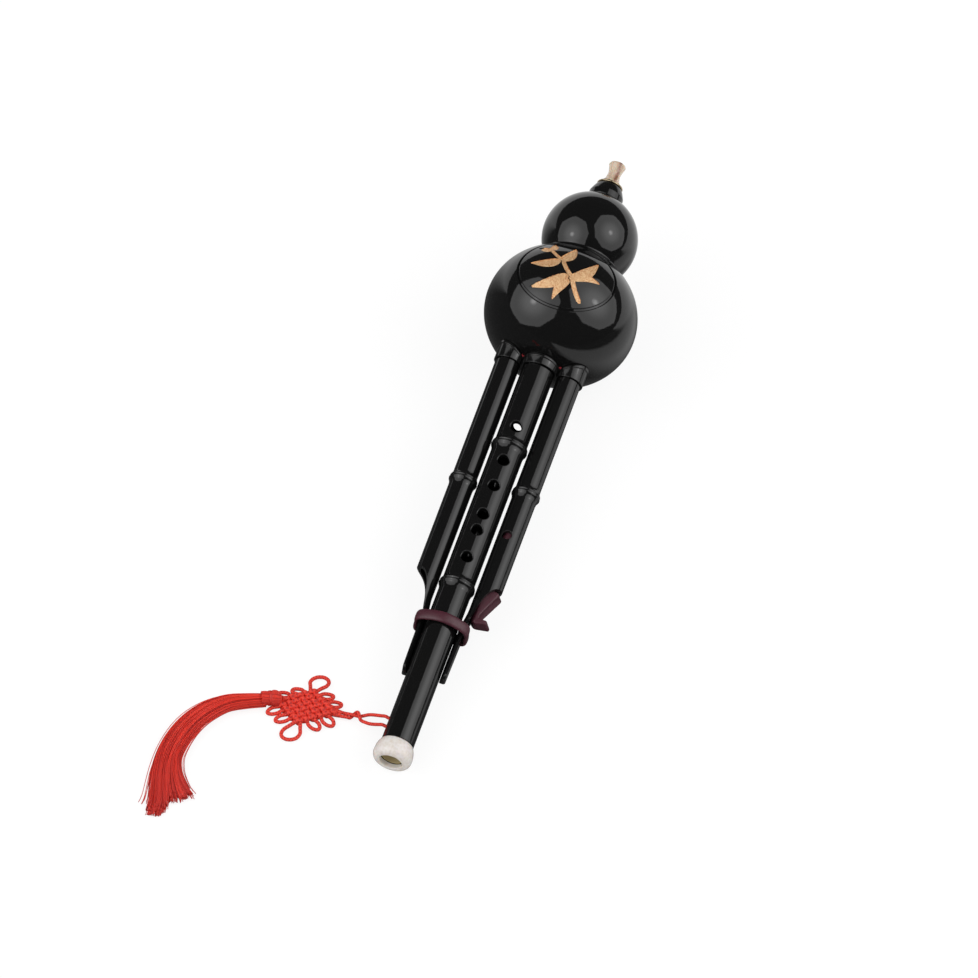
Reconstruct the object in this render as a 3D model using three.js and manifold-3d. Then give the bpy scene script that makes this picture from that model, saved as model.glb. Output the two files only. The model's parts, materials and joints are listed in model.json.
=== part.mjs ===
// A gourd flute: a melody pipe and two drone pipes of lacquered bamboo, set in a gourd wind chest.
// Lengths are in millimetres. The pieces of the instrument are drawn along the pipes: X runs from
// the foot to the mouthpiece, Y to the side of the tassel, and Z to the front, where the finger
// holes are. The whole instrument then lies on its back, on the gourd and on the foot cap.

import * as THREE from 'three';
import { mergeVertices } from 'three/addons/utils/BufferGeometryUtils.js';
import Module from 'manifold-3d';

const wasm = await Module();
wasm.setup();

// Gaps and cutters
const fitGap = 0.3;
const overrun = 2;

// The search for the tilt at which the instrument rests
const steepestTilt = Math.PI / 6;
const tiltSteps = 50;

// Where the seat's foot stands, above the foot of the melody pipe
const seatFoot = 254.5;

// Gourd: two bulbs turned about one axis, which lies behind the pipes. Its foot sinks into the seat
const gourdSetback = 7;
const gourdRise = 2.6;
const bulbRadius = 42;
const bulbHalfLength = 38.3;
const bulbCentre = seatFoot + gourdRise + bulbHalfLength;
const bulbSpacing = 50.3;
const crownRadius = 26.2;
const crownCentre = bulbCentre + bulbSpacing;
const waistBlend = 4;
const gourdWall = 3;
const neckHoleRadius = 4.8;

// Melody pipe
const melodyRadius = 9;
const melodyBoreRadius = 6.1;
const melodyTenonRadius = 7.2;
const melodyReedBoreRadius = 4.8;
const melodyTenonLength = 37.5;
const melodyTop = seatFoot + melodyTenonLength;
const melodyNodeRadius = 10.2;
const melodyNodes = [114.5, 204.9];
const nodeFlareBelow = 5.2;
const nodeFlareAbove = 3.6;
const nodeRidge = 1.1;
const pipeEndWall = 3;
const fingerHoleRadius = 3.05;
const fingerHoles = [129.1, 146.6, 157, 175.6, 192.1, 214.1];
const thumbHole = 223;

// Drone pipes, one on each side, with a tongue left below the open mouth
const droneRadius = 6.85;
const droneBoreRadius = 4.5;
const droneTenonRadius = 5.1;
const droneReedBoreRadius = 3.5;
const droneSpacing = 17.3;
const droneSetback = 1.8;
const droneTenonLength = 31.5;
const droneTop = seatFoot + droneTenonLength;
const droneNodeRadius = 8;
const tongueDepth = 2.5;
const tongueTipDepth = 1.8;
const tongueHalfWidth = 5;
const scoopLength = 22;
const leftScoopTop = 118.9;
const leftTongueEnd = 54.5;
const leftNode = 178;
const rightScoopTop = 119.8;
const rightTongueEnd = 56.6;
const rightNode = 181.5;
const ventRadius = 2.6;
const ventStation = 151.5;
const ventShift = 1.45;

// Reeds: a brass plate with a slit tongue on a flat near the top of each pipe
const reedThickness = 0.5;
const reedLength = 17;
const reedEdge = 2.4;
const reedSlit = 0.4;
const melodyReedWidth = 7.6;
const melodyTongueWidth = 2.6;
const melodyFlat = 6;
const droneReedWidth = 5.2;
const droneTongueWidth = 1.8;
const droneFlat = 4.1;

// Pipe seat, its gasket and the thread lapping on the tenons
const seatLength = 13.5;
const seatTop = seatFoot + seatLength;
const melodyCollarRadius = 10.4;
const droneCollarRadius = 7.9;
const melodySpigotRadius = 9.2;
const droneSpigotRadius = 6.8;
const spigotBridge = 2.2;
const rimProud = 0.55;
const rimHeight = 1.5;
const gasketThickness = 0.7;
const gasketInset = 0.35;
const gasketBridge = 5;
const lappingThickness = 0.6;
const lappingLength = 9;

// Foot cap
const capLength = 11.2;
const capMouthRadius = 6.35;
const capRadius = 10.95;
const capRimRadius = 9.45;
const capFloor = 2.9;
const capLip = 0.7;
const capFaceRadius = 7.9;
const capBellyStation = 4;
const capTenonRadius = 7.9;

// Neck ferrule, its ring and the mouthpiece
const ferruleFootRadius = 9.6;
const ferruleTopRadius = 7;
const ferruleHeight = 9;
const ferruleTop = crownCentre + crownRadius + ferruleHeight;
const ferruleSteps = 3;
const ferruleStepBulge = 0.55;
const ferruleSpigotLength = 4.5;
const airwayRadius = 2.4;
const socketRadius = 4;
const socketDepth = 9.7;
const socketFloor = ferruleTop - socketDepth;
const ringThickness = 1.1;
const mouthpieceLength = 12.4;
const mouthpieceFootRadius = 5;
const mouthpieceWaistRadius = 3.5;
const mouthpieceTipRadius = 4.7;
const mouthpieceBoreRadius = 1.6;
const mouthpieceTenonRadius = 2.7;
const corkThickness = 0.7;

// Drone plug: a rubber rod cut on a slant where it shows, with a pull tab
const plugPastVent = 3.5;
const plugTop = ventStation + plugPastVent;
const plugStep = 2.6;
const plugShoulder = rightScoopTop - plugStep;
const plugSlant = 21.6;
const plugNeck = plugShoulder - plugSlant;
const plugNeckDepth = 4.6;
const plugProud = 1.1;
const plugHalfWidth = 3.3;
const plugBare = 2.6;
const tabLength = 7.2;
const tabThickness = 3.6;
const tabRise = 1.4;

// Rubber band round the melody pipe and both tongues
const bandStation = 88.4;
const bandHeight = 6.5;
const bandThickness = 2.5;

// Cord, knot and tassel, which lie on the floor. Their places are taken from the foot
const cordDiameter = 1.6;
const cordHoleRadius = 1.2;
const cordHoleStations = [21, 26.3];
const cordHoleAngle = 12;
const knotCordDiameter = 1.9;
const knotCentre = [23.6, 53.7];
const knotTurn = 99;
const knotRuns = 6;
const knotPitch = 3.45;
const knotLayer = 1.72;
const knotFloorGap = 0.1;
const earLength = 5.4;
const earBulge = 0.5;
const cornerLoopLength = 11.2;
const cornerLoopWidth = 12.4;
const tasselHeadRadius = 4.8;
const tasselHeadLength = 9;
const tasselHeadStart = [20.4, 69.6];
const tasselHeadTurn = 112;
const tasselFlutes = 9;
const tasselFluteShare = 0.07;

// The route of each cord strand from its hole to the knot, chosen by hand: place along the floor
// from the foot, place to the side, and height
const lowerStrandRoute = [
  [21.3, 11.4, 11.0], [21.7, 13.9, 9.3], [22.4, 16.3, 7.2], [23.2, 18.7, 5.3], [24.2, 21.2, 3.9],
  [24.9, 23.1, 3.1], [25.2, 24.2, 3.5], [26.0, 25.0, 4.6], [27.3, 25.9, 5.0], [28.6, 26.8, 4.4],
  [29.1, 27.7, 3.0], [28.4, 28.6, 1.6], [26.9, 29.4, 1.0], [25.4, 30.2, 1.5], [24.8, 31.4, 2.3],
  [24.6, 33.2, 2.1], [24.4, 35.2, 1.8], [24.2, 37.1, 1.5], [24.0, 39.5, 1.2],
];
const upperStrandRoute = [
  [26.7, 11.4, 11.7], [27.4, 13.9, 9.9], [28.4, 16.3, 7.7], [29.2, 18.7, 5.7], [29.3, 21.2, 4.1],
  [28.4, 23.4, 3.2], [27.4, 25.4, 2.9], [27.1, 27.4, 2.9], [26.9, 29.4, 3.0], [26.8, 31.4, 2.7],
  [26.7, 33.2, 2.4], [26.7, 35.2, 2.2], [26.8, 37.1, 2.3], [26.8, 39.6, 2.6],
];
// The middle line of the tassel, with the width and the height of the bundle at each place
const tasselRoute = [
  [16.9, 78.2, 8.6, 8.6], [13.6, 85.0, 9.4, 7.8], [8.2, 93.8, 12.6, 7.0], [0.2, 101.5, 15.2, 6.4],
  [-9.8, 107.6, 16.6, 5.9], [-21.0, 111.4, 17.2, 5.5], [-33.0, 112.9, 17.4, 5.1],
  [-45.0, 112.0, 17.8, 4.7], [-56.0, 109.2, 19.6, 4.2], [-66.0, 105.6, 23.0, 3.6],
  [-74.5, 103.4, 25.6, 3.0],
];

// Outlines, as shares of the sizes that they follow
const waistShare = 0.877;
const crownStepShare = 0.8;
const nodeBelowShares = [[1, 0], [0.55, 0.3]];
const nodeRidgeShares = [[-1, 1], [-0.5, 0.55], [0, 0.9], [0.5, 0.8]];
const nodeAboveShares = [[0.55, 0.25], [1, 0]];
const reedTaperShare = 0.55;
const scoopCurveShares = [[0.055, 0.15], [0.36, 0.77]];
const ferruleStepShares = [[0.7, 0, 0.2], [1, 0, 0.45], [0, 0.5, 0.9], [0, 1, 1]];
const mouthpieceFootShares = [[1, 0], [1, 0.1], [0.86, 0.2]];
const mouthpieceWaistShares = [[1.05, 0.38], [1, 0.52], [1.08, 0.65]];
const mouthpieceTipShares = [[0.94, 0.82], [1, 0.9], [0.9, 0.97], [0.68, 1]];
const mouthpieceMouthShares = [[1.3, 1], [1, 0.95]];
const capBellyShares = [0.25, 0.5, 0.75, 1];
const capTaperShares = [[0.12, 0.35], [0.45, 0.7], [1, 1]];
const plugCornerShare = 0.6;
const plugSlantShare = 0.93;
const bandCornerShare = 0.75;
const bandFlankShare = 0.72;
const bandFrontShare = 0.86;
const bandBackShare = 0.94;
const bandSectionShares = [
  [-1, -0.5], [-0.6, -1], [0.6, -1], [1, -0.5], [1, 0.5], [0.6, 1], [-0.6, 1], [-1, 0.5],
];
const bightTurnShare = 0.6;
const earRootShare = 0.97;
const earShares = [[0.45, 1], [0.9, 0.55], [1, 0]];
const cornerLoopShares = [[0.31, 0.7], [0.65, 0.83], [1, 0]];
const knotTailShares = [0.5, 0.68, 0.86];
const knotTailRiseShare = 0.85;
const tasselHeadShares = [
  [0.45, 0.03], [0.8, 0.12], [1, 0.32], [1, 0.45], [0.9, 0.62], [0.9, 0.8], [0.96, 0.9], [0.9, 1],
];
const bundleSagShare = 0.85;

// Facets
const bandSteps = 36;
const bightSteps = 8;
const earSteps = 7;
const cornerSteps = 12;
const tailSteps = 5;
const gourdSides = 36;
const gourdSteps = 14;
const hollowSides = 24;
const hollowSteps = 9;
const pipeSides = 28;
const droneSides = 24;
const turnedSides = 24;
const collarSides = 20;
const holeSides = 12;
const cordSides = 8;

const material = (color, roughness, metalness = 0) =>
  new THREE.MeshStandardMaterial({ color, roughness, metalness });
const lacquer = material(0x141414, 0.12);
const jade = material(0xe3ddd6, 0.3);
const horn = material(0xcdb592, 0.3);
const cork = material(0xb98a5b, 0.9);
const brass = material(0xc9a24e, 0.3, 1);
const silver = material(0xc9c2b4, 0.3, 1);
const rubber = material(0x5c2a38, 0.6);
const redThread = material(0x9c1f2a, 0.8);
const redCord = material(0xd42a22, 0.7);

// A closed mesh as a solid, with its seams merged and its flat triangles dropped.
function toSolid(geometry) {
  const bare = geometry.clone();
  bare.deleteAttribute('normal');
  bare.deleteAttribute('uv');
  const merged = mergeVertices(bare);
  const index = merged.index.array;
  const kept = [];
  for (let i = 0; i < index.length; i += 3) {
    const [a, b, c] = [index[i], index[i + 1], index[i + 2]];
    if (a !== b && b !== c && c !== a) kept.push(a, b, c);
  }
  const solid = new wasm.Manifold(new wasm.Mesh({
    numProp: 3,
    vertProperties: merged.attributes.position.array,
    triVerts: new Uint32Array(kept),
  }));
  if (solid.volume() > 0) return solid;
  for (let i = 0; i < kept.length; i += 3) [kept[i], kept[i + 1]] = [kept[i + 1], kept[i]];
  return new wasm.Manifold(new wasm.Mesh({
    numProp: 3,
    vertProperties: merged.attributes.position.array,
    triVerts: new Uint32Array(kept),
  }));
}

function toGeometry(solid) {
  const mesh = solid.getMesh();
  const geometry = new THREE.BufferGeometry();
  geometry.setAttribute('position', new THREE.BufferAttribute(mesh.vertProperties, 3));
  geometry.setIndex(new THREE.BufferAttribute(mesh.triVerts, 1));
  geometry.computeVertexNormals();
  return geometry;
}

// A solid turned about the X axis from a profile of [radius, station] pairs. A flat lies at the
// back, so that a turned piece rests on a facet.
function turned(profile, sides) {
  const points = profile.map(([radius, station]) => new THREE.Vector2(radius, station));
  const geometry = new THREE.LatheGeometry(points, sides, Math.PI / sides);
  geometry.rotateZ(-Math.PI / 2);
  return toSolid(geometry);
}

// A rod along X.
function rod(radius, start, end, sides) {
  return turned([[0, start], [radius, start], [radius, end], [0, end]], sides);
}

// A rod from the X axis outwards, to one side: an angle of 0 is the front, 90 the tassel's side.
function radialRod(radius, station, from, to, angle, sides) {
  const geometry = new THREE.CylinderGeometry(radius, radius, to - from, sides);
  geometry.rotateX(Math.PI / 2);
  geometry.translate(0, 0, (from + to) / 2);
  geometry.rotateX(-THREE.MathUtils.degToRad(angle));
  geometry.translate(station, 0, 0);
  return toSolid(geometry);
}

function block(x0, x1, y0, y1, z0, z1) {
  const geometry = new THREE.BoxGeometry(x1 - x0, y1 - y0, z1 - z0);
  geometry.translate((x0 + x1) / 2, (y0 + y1) / 2, (z0 + z1) / 2);
  return toSolid(geometry);
}

// A flat outline drawn along the pipe (x) and to the side (y), extruded to the front.
function plate(shape, back, front) {
  const settings = { depth: front - back, bevelEnabled: false, curveSegments: 8 };
  const geometry = new THREE.ExtrudeGeometry(shape, settings);
  geometry.translate(0, 0, back);
  return toSolid(geometry);
}

function outline(points) {
  return new THREE.Shape(points.map(([x, y]) => new THREE.Vector2(x, y)));
}

// The larger of two heights, with the corner between them rounded off.
function blendedMax(a, b, blend) {
  const near = Math.max(blend - Math.abs(a - b), 0) / blend;
  return Math.max(a, b) + near * near * blend / 4;
}

// The radius of the gourd at a station, with its wall moved out by the given offset.
function gourdRadiusAt(station, offset) {
  const low = (station - bulbCentre) / (bulbHalfLength + offset);
  const high = (station - crownCentre) / (crownRadius + offset);
  const lowRadius = (bulbRadius + offset) * Math.sqrt(Math.max(1 - low * low, 0));
  const highRadius = (crownRadius + offset) * Math.sqrt(Math.max(1 - high * high, 0));
  return blendedMax(lowRadius, highRadius, waistBlend);
}

// The closed outer form of the gourd, moved out by an offset.
function gourdForm(offset, steps = gourdSteps, sides = gourdSides) {
  const foot = bulbCentre - bulbHalfLength - offset;
  const waist = bulbCentre + bulbHalfLength * waistShare;
  const top = crownCentre + crownRadius + offset;
  const profile = [[0, foot]];
  for (let i = 1; i < steps; i += 1) {
    const turn = -Math.PI / 2 + (i / steps) * (Math.PI / 2 + Math.asin(waistShare));
    const station = bulbCentre + (bulbHalfLength + offset) * Math.sin(turn);
    if (station < waist) profile.push([gourdRadiusAt(station, offset), station]);
  }
  const waistTurn = Math.asin((waist - crownCentre) / (crownRadius + offset));
  const crownSteps = Math.round(steps * crownStepShare);
  for (let i = 0; i < crownSteps; i += 1) {
    const turn = waistTurn + (i / crownSteps) * (Math.PI / 2 - waistTurn);
    const station = crownCentre + (crownRadius + offset) * Math.sin(turn);
    profile.push([gourdRadiusAt(station, offset), station]);
  }
  profile.push([0, top]);
  return turned(profile, sides).translate(0, 0, -gourdSetback);
}
// A bamboo node: the wall swells below a thin ridge, and more sharply above it.
function nodeProfile(radius, nodeRadius, station) {
  const rise = nodeRadius - radius;
  const places = (shares, reach) =>
    shares.map(([along, up]) => [radius + rise * up, station + reach * along]);
  return [
    ...places(nodeBelowShares, -nodeFlareBelow),
    ...places(nodeRidgeShares, nodeRidge),
    ...places(nodeAboveShares, nodeFlareAbove),
  ];
}

// A pipe with a closed top, a tenon above its shoulder and its bore open at the foot.
function pipeBlank({ foot, footRadius, radius, bore, tenon, reedBore, top, nodes, sides }) {
  const shoulder = seatFoot - fitGap;
  return turned([
    [0, top - pipeEndWall], [reedBore, top - pipeEndWall], [reedBore, shoulder],
    [bore, shoulder - (bore - reedBore)], [bore, foot], ...footRadius,
    ...nodes, [radius, shoulder], [tenon, shoulder], [tenon, top], [0, top],
  ], sides);
}

// The flat and the slot under a reed, near the top of a pipe.
function reedFlat(solid, top, flat, tenon, tongueWidth) {
  const end = top - pipeEndWall;
  const start = end - reedLength;
  const flatCut = block(start - fitGap, end + fitGap, -tenon - overrun, tenon + overrun,
    flat, tenon + overrun);
  const slot = block(start + reedEdge, end - reedEdge, -tongueWidth / 2 - reedSlit,
    tongueWidth / 2 + reedSlit, 0, tenon + overrun);
  return solid.subtract(flatCut).subtract(slot);
}

// A brass plate with a pointed tongue cut free on three sides.
function reedPlate(top, flat, width, tongueWidth) {
  const end = top - pipeEndWall;
  const start = end - reedLength;
  const seat = flat + fitGap;
  const sheet = block(start, end, -width / 2, width / 2, seat, seat + reedThickness);
  const root = start + reedEdge + tongueWidth / 2;
  const tip = end - reedEdge;
  const half = tongueWidth / 2;
  const slit = outline([
    [root, half], [tip - half, half * reedTaperShare], [tip - half, -half * reedTaperShare],
    [root, -half], [root, -half - reedSlit], [tip - half + reedSlit, -half * reedTaperShare - reedSlit],
    [tip - half + reedSlit, half * reedTaperShare + reedSlit], [root, half + reedSlit],
  ]);
  return sheet.subtract(plate(slit, seat - overrun, seat + overrun));
}

function lapping(tenon) {
  const inner = tenon + fitGap;
  const outer = inner + lappingThickness;
  const start = seatFoot + fitGap;
  const end = start + lappingLength;
  return turned([[inner, start], [outer, start], [outer, end], [inner, end], [inner, start]],
    turnedSides);
}

function onDroneAxis(solid, side) {
  return solid.translate(0, side * droneSpacing, -droneSetback);
}

function melodyPipe() {
  const tenonStart = capFloor + fitGap;
  const tenonEnd = capLength + fitGap;
  const tenonRadius = capTenonRadius - fitGap;
  let solid = pipeBlank({
    foot: tenonStart,
    footRadius: [[tenonRadius, tenonStart], [tenonRadius, tenonEnd], [melodyRadius, tenonEnd]],
    radius: melodyRadius,
    bore: melodyBoreRadius,
    tenon: melodyTenonRadius,
    reedBore: melodyReedBoreRadius,
    top: melodyTop,
    nodes: melodyNodes.flatMap((at) => nodeProfile(melodyRadius, melodyNodeRadius, at)),
    sides: pipeSides,
  });
  const past = melodyNodeRadius + overrun;
  for (const station of fingerHoles) {
    solid = solid.subtract(radialRod(fingerHoleRadius, station, 0, past, 0, holeSides));
  }
  solid = solid.subtract(radialRod(fingerHoleRadius, thumbHole, 0, past, 180, holeSides));
  for (const station of cordHoleStations) {
    solid = solid.subtract(
      radialRod(cordHoleRadius, station, 0, past, 90 + cordHoleAngle, cordSides));
  }
  return reedFlat(solid, melodyTop, melodyFlat, melodyTenonRadius, melodyTongueWidth);
}

// A drone pipe at the right of the melody pipe's axis is the side -1, at the left the side 1.
function dronePipe({ side, scoopTop, tongueEnd, node, vent }) {
  const foot = tongueEnd;
  let solid = pipeBlank({
    foot,
    footRadius: [[droneRadius, foot]],
    radius: droneRadius,
    bore: droneBoreRadius,
    tenon: droneTenonRadius,
    reedBore: droneReedBoreRadius,
    top: droneTop,
    nodes: nodeProfile(droneRadius, droneNodeRadius, node),
    sides: droneSides,
  });
  const cut = -droneRadius + tongueDepth;
  const past = droneRadius + overrun;
  const low = scoopTop - scoopLength;
  const tip = tongueTipDepth / 2;
  const scoop = new THREE.Shape();
  scoop.moveTo(foot - overrun, past);
  scoop.lineTo(scoopTop, past);
  scoop.lineTo(scoopTop, droneRadius);
  const [early, late] = scoopCurveShares;
  scoop.bezierCurveTo(scoopTop - scoopLength * early[0], droneRadius * early[1],
    scoopTop - scoopLength * late[0], cut * late[1], low, cut);
  scoop.lineTo(foot + tip, tongueTipDepth - droneRadius);
  scoop.absarc(foot + tip, tip - droneRadius, tip, Math.PI / 2, Math.PI, false);
  scoop.lineTo(foot - overrun, tip - droneRadius);
  scoop.closePath();
  let cutter = plate(scoop, -past, past);
  if (side < 0) cutter = cutter.rotate([180, 0, 0]);
  solid = solid.subtract(cutter);
  solid = solid.subtract(tongueSides(foot, low));
  if (vent) {
    solid = solid.subtract(
      radialRod(ventRadius, vent, 0, past, 0, holeSides).translate(0, -side * ventShift, 0));
  }
  solid = reedFlat(solid, droneTop, droneFlat, droneTenonRadius, droneTongueWidth);
  return onDroneAxis(solid, side);
}

// What is shaved off the front and the back of a tongue, so that it ends in a round tip.
function tongueSides(foot, low) {
  const past = droneRadius + overrun;
  const round = new THREE.Shape();
  round.moveTo(foot - overrun, past);
  round.lineTo(foot - overrun, -past);
  round.lineTo(low + tongueHalfWidth, -past);
  round.bezierCurveTo(low, -droneRadius, low, -tongueHalfWidth, low - tongueHalfWidth,
    -tongueHalfWidth);
  round.lineTo(foot + tongueHalfWidth, -tongueHalfWidth);
  round.absarc(foot + tongueHalfWidth, 0, tongueHalfWidth, -Math.PI / 2, Math.PI / 2, true);
  round.lineTo(low - tongueHalfWidth, tongueHalfWidth);
  round.bezierCurveTo(low, tongueHalfWidth, low, droneRadius, low + tongueHalfWidth, past);
  round.closePath();
  return plate(round, -past, past).rotate([90, 0, 0]);
}

// The three rods that follow the pipes, with a bridge between them.
function threeRods(melody, drone, bridge, start, end) {
  const rods = rod(melody, start, end, collarSides)
    .add(onDroneAxis(rod(drone, start, end, collarSides), 1))
    .add(onDroneAxis(rod(drone, start, end, collarSides), -1));
  if (!bridge) return rods;
  return rods.add(block(start, end, -droneSpacing, droneSpacing,
    -droneSetback / 2 - bridge, -droneSetback / 2 + bridge));
}

function pipeSeat() {
  const seatGap = gasketThickness + 2 * fitGap;
  const near = gourdForm(seatGap);
  const far = gourdForm(seatGap + rimHeight);
  const collars = threeRods(melodyCollarRadius, droneCollarRadius, 0, seatFoot, seatTop)
    .subtract(near);
  const rims = threeRods(melodyCollarRadius + rimProud, droneCollarRadius + rimProud, 0,
    seatFoot, seatTop).intersect(far).subtract(near);
  const spigots = threeRods(melodySpigotRadius, droneSpigotRadius, spigotBridge,
    seatFoot, seatTop);
  const bores = threeRods(
    melodyTenonRadius + lappingThickness + 2 * fitGap,
    droneTenonRadius + lappingThickness + 2 * fitGap, 0, seatFoot - overrun, seatTop + overrun);
  return collars.add(rims).add(spigots).subtract(bores);
}

function seatGasket() {
  const near = gourdForm(fitGap);
  const far = gourdForm(fitGap + gasketThickness);
  return threeRods(melodyCollarRadius - gasketInset, droneCollarRadius - gasketInset,
    gasketBridge, seatFoot, seatTop)
    .intersect(far)
    .subtract(near)
    .subtract(threeRods(melodySpigotRadius + fitGap, droneSpigotRadius + fitGap,
      spigotBridge + fitGap, seatFoot - overrun, seatTop + overrun));
}

function gourdBody() {
  const hollow = gourdForm(-gourdWall, hollowSteps, hollowSides);
  const neckHole = rod(neckHoleRadius, crownCentre, crownCentre + crownRadius + overrun,
    turnedSides).translate(0, 0, -gourdSetback);
  return gourdForm(0)
    .subtract(hollow)
    .subtract(neckHole)
    .subtract(threeRods(melodySpigotRadius + fitGap, droneSpigotRadius + fitGap,
      spigotBridge + fitGap, seatFoot - overrun, bulbCentre));
}

// The station where the crown of the gourd, moved out by an offset, has a given radius.
function crownStation(radius, offset) {
  const reach = crownRadius + offset;
  return crownCentre + Math.sqrt(reach * reach - radius * radius);
}

// The ferrule sits on the crown with a round spigot in the neck hole, and steps in like a hive.
function neckFerrule() {
  const spigot = neckHoleRadius - fitGap;
  const spigotFoot = crownStation(spigot, fitGap) - ferruleSpigotLength;
  const foot = crownStation(ferruleFootRadius, fitGap);
  const profile = [[airwayRadius, spigotFoot], [spigot, spigotFoot],
    [spigot, crownStation(spigot, fitGap)],
    [(spigot + ferruleFootRadius) / 2, crownStation((spigot + ferruleFootRadius) / 2, fitGap)],
    [ferruleFootRadius, foot]];
  const rise = (ferruleTop - foot) / ferruleSteps;
  const inset = (ferruleFootRadius - ferruleTopRadius) / ferruleSteps;
  for (let i = 0; i < ferruleSteps; i += 1) {
    const radius = ferruleFootRadius - inset * i;
    const start = foot + rise * i;
    for (const [bulge, drawn, up] of ferruleStepShares) {
      profile.push([radius + ferruleStepBulge * bulge - inset * drawn, start + rise * up]);
    }
  }
  profile.push([socketRadius, ferruleTop], [socketRadius, socketFloor],
    [airwayRadius, socketFloor], [airwayRadius, spigotFoot]);
  return turned(profile, turnedSides).translate(0, 0, -gourdSetback);
}

function ferruleRing() {
  const start = ferruleTop + fitGap;
  const end = start + ringThickness;
  return turned([
    [socketRadius, start], [ferruleTopRadius, start],
    [ferruleTopRadius + ferruleStepBulge / 2, (start + end) / 2], [ferruleTopRadius, end],
    [socketRadius, end], [socketRadius, start],
  ], turnedSides).translate(0, 0, -gourdSetback);
}

// The mouthpiece: a turned horn tip with a waist and a rounded lip, on a bare tenon.
function mouthpiece() {
  const foot = ferruleTop + ringThickness + 2 * fitGap;
  const length = mouthpieceLength;
  const tenonFoot = socketFloor + fitGap;
  const places = (radius, shares) =>
    shares.map(([wide, along]) => [radius * wide, foot + length * along]);
  return turned([
    [mouthpieceBoreRadius, tenonFoot], [mouthpieceTenonRadius, tenonFoot],
    [mouthpieceTenonRadius, foot],
    ...places(mouthpieceFootRadius, mouthpieceFootShares),
    ...places(mouthpieceWaistRadius, mouthpieceWaistShares),
    ...places(mouthpieceTipRadius, mouthpieceTipShares),
    ...places(mouthpieceBoreRadius, mouthpieceMouthShares),
    [mouthpieceBoreRadius, tenonFoot],
  ], turnedSides).translate(0, 0, -gourdSetback);
}

function mouthpieceCork() {
  const inner = mouthpieceTenonRadius + fitGap;
  const outer = inner + corkThickness;
  const start = socketFloor + 2 * fitGap;
  const end = ferruleTop;
  return turned([[inner, start], [outer, start], [outer, end], [inner, end], [inner, start]],
    turnedSides).translate(0, 0, -gourdSetback);
}

// The foot cap: a round-bellied ring with a flat face, and a socket for the end of the pipe.
function footCap() {
  const profile = [[capMouthRadius, capLip], [capMouthRadius + capLip, 0], [capFaceRadius, 0]];
  for (const share of capBellyShares) {
    const turn = share * Math.PI / 2;
    profile.push([
      capFaceRadius + (capRadius - capFaceRadius) * Math.sin(turn),
      capBellyStation * (1 - Math.cos(turn)),
    ]);
  }
  const upper = capLength - capBellyStation;
  const inset = capRadius - capRimRadius;
  for (const [drawn, along] of capTaperShares) {
    profile.push([capRadius - inset * drawn, capBellyStation + upper * along]);
  }
  profile.push([capTenonRadius, capLength], [capTenonRadius, capFloor],
    [capMouthRadius, capFloor], [capMouthRadius, capLip]);
  return turned(profile, pipeSides);
}

// The plug fills the bore of the right drone. Where it shows, it is cut on a slant down to a neck,
// and a tab turns outwards from the neck.
function dronePlug() {
  const radius = droneBoreRadius - fitGap;
  const upper = rod(radius, plugShoulder + fitGap, plugTop, turnedSides);
  const inner = -radius;
  const neck = inner + plugNeckDepth;
  const outer = droneRadius + plugProud;
  const body = outline([
    [plugShoulder + overrun, inner], [plugNeck + tabThickness * plugCornerShare, inner],
    [plugNeck, inner + plugNeckDepth * plugCornerShare],
    [plugNeck, neck], [plugNeck + tabRise, neck + tabLength],
    [plugNeck + tabRise + tabThickness, neck + tabLength * plugSlantShare],
    [plugNeck + tabThickness + tabRise, neck],
    [plugShoulder - tabRise, outer], [plugShoulder, outer * plugSlantShare],
    [plugShoulder, plugBare], [plugShoulder + overrun, plugBare],
  ]);
  const past = neck + tabLength + overrun;
  const lower = plate(body, -radius, radius)
    .intersect(rod(radius, plugNeck - overrun, plugShoulder + overrun, turnedSides)
      .add(block(plugNeck - overrun, plugShoulder, plugBare, past, -plugHalfWidth, plugHalfWidth)));
  return onDroneAxis(upper.add(lower).rotate([180, 0, 0]), -1);
}

// A band that follows the melody pipe at the front and back, and a tongue at each side.
function rubberBand() {
  const reach = fitGap + bandThickness / 2;
  const front = melodyRadius + reach;
  const side = droneSpacing - droneRadius + tongueDepth + reach;
  const top = tongueHalfWidth - droneSetback + reach * bandCornerShare;
  const bottom = -tongueHalfWidth - droneSetback - reach * bandCornerShare;
  const corner = side - reach * (1 - bandCornerShare);
  const flank = melodyRadius * bandFlankShare;
  const line = new THREE.CatmullRomCurve3([
    new THREE.Vector3(0, 0, front),
    new THREE.Vector3(0, flank, front * bandFrontShare),
    new THREE.Vector3(0, corner, top),
    new THREE.Vector3(0, side, -droneSetback),
    new THREE.Vector3(0, corner, bottom),
    new THREE.Vector3(0, flank, -front * bandBackShare),
    new THREE.Vector3(0, 0, -front),
    new THREE.Vector3(0, -flank, -front * bandBackShare),
    new THREE.Vector3(0, -corner, bottom),
    new THREE.Vector3(0, -side, -droneSetback),
    new THREE.Vector3(0, -corner, top),
    new THREE.Vector3(0, -flank, front * bandFrontShare),
  ], true, 'centripetal');
  const half = bandHeight / 2;
  const sides = line.getSpacedPoints(bandSteps).slice(0, bandSteps);
  const rings = sides.map((point, i) => {
    const before = sides[(i + bandSteps - 1) % bandSteps];
    const after = sides[(i + 1) % bandSteps];
    const along = new THREE.Vector3().subVectors(after, before).normalize();
    const out = new THREE.Vector3(0, along.z, -along.y).multiplyScalar(bandThickness / 2);
    return bandSectionShares.map(([up, proud]) => new THREE.Vector3(
      bandStation + up * half, point.y + out.y * proud, point.z + out.z * proud));
  });
  return loft(rings, true);
}

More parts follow.
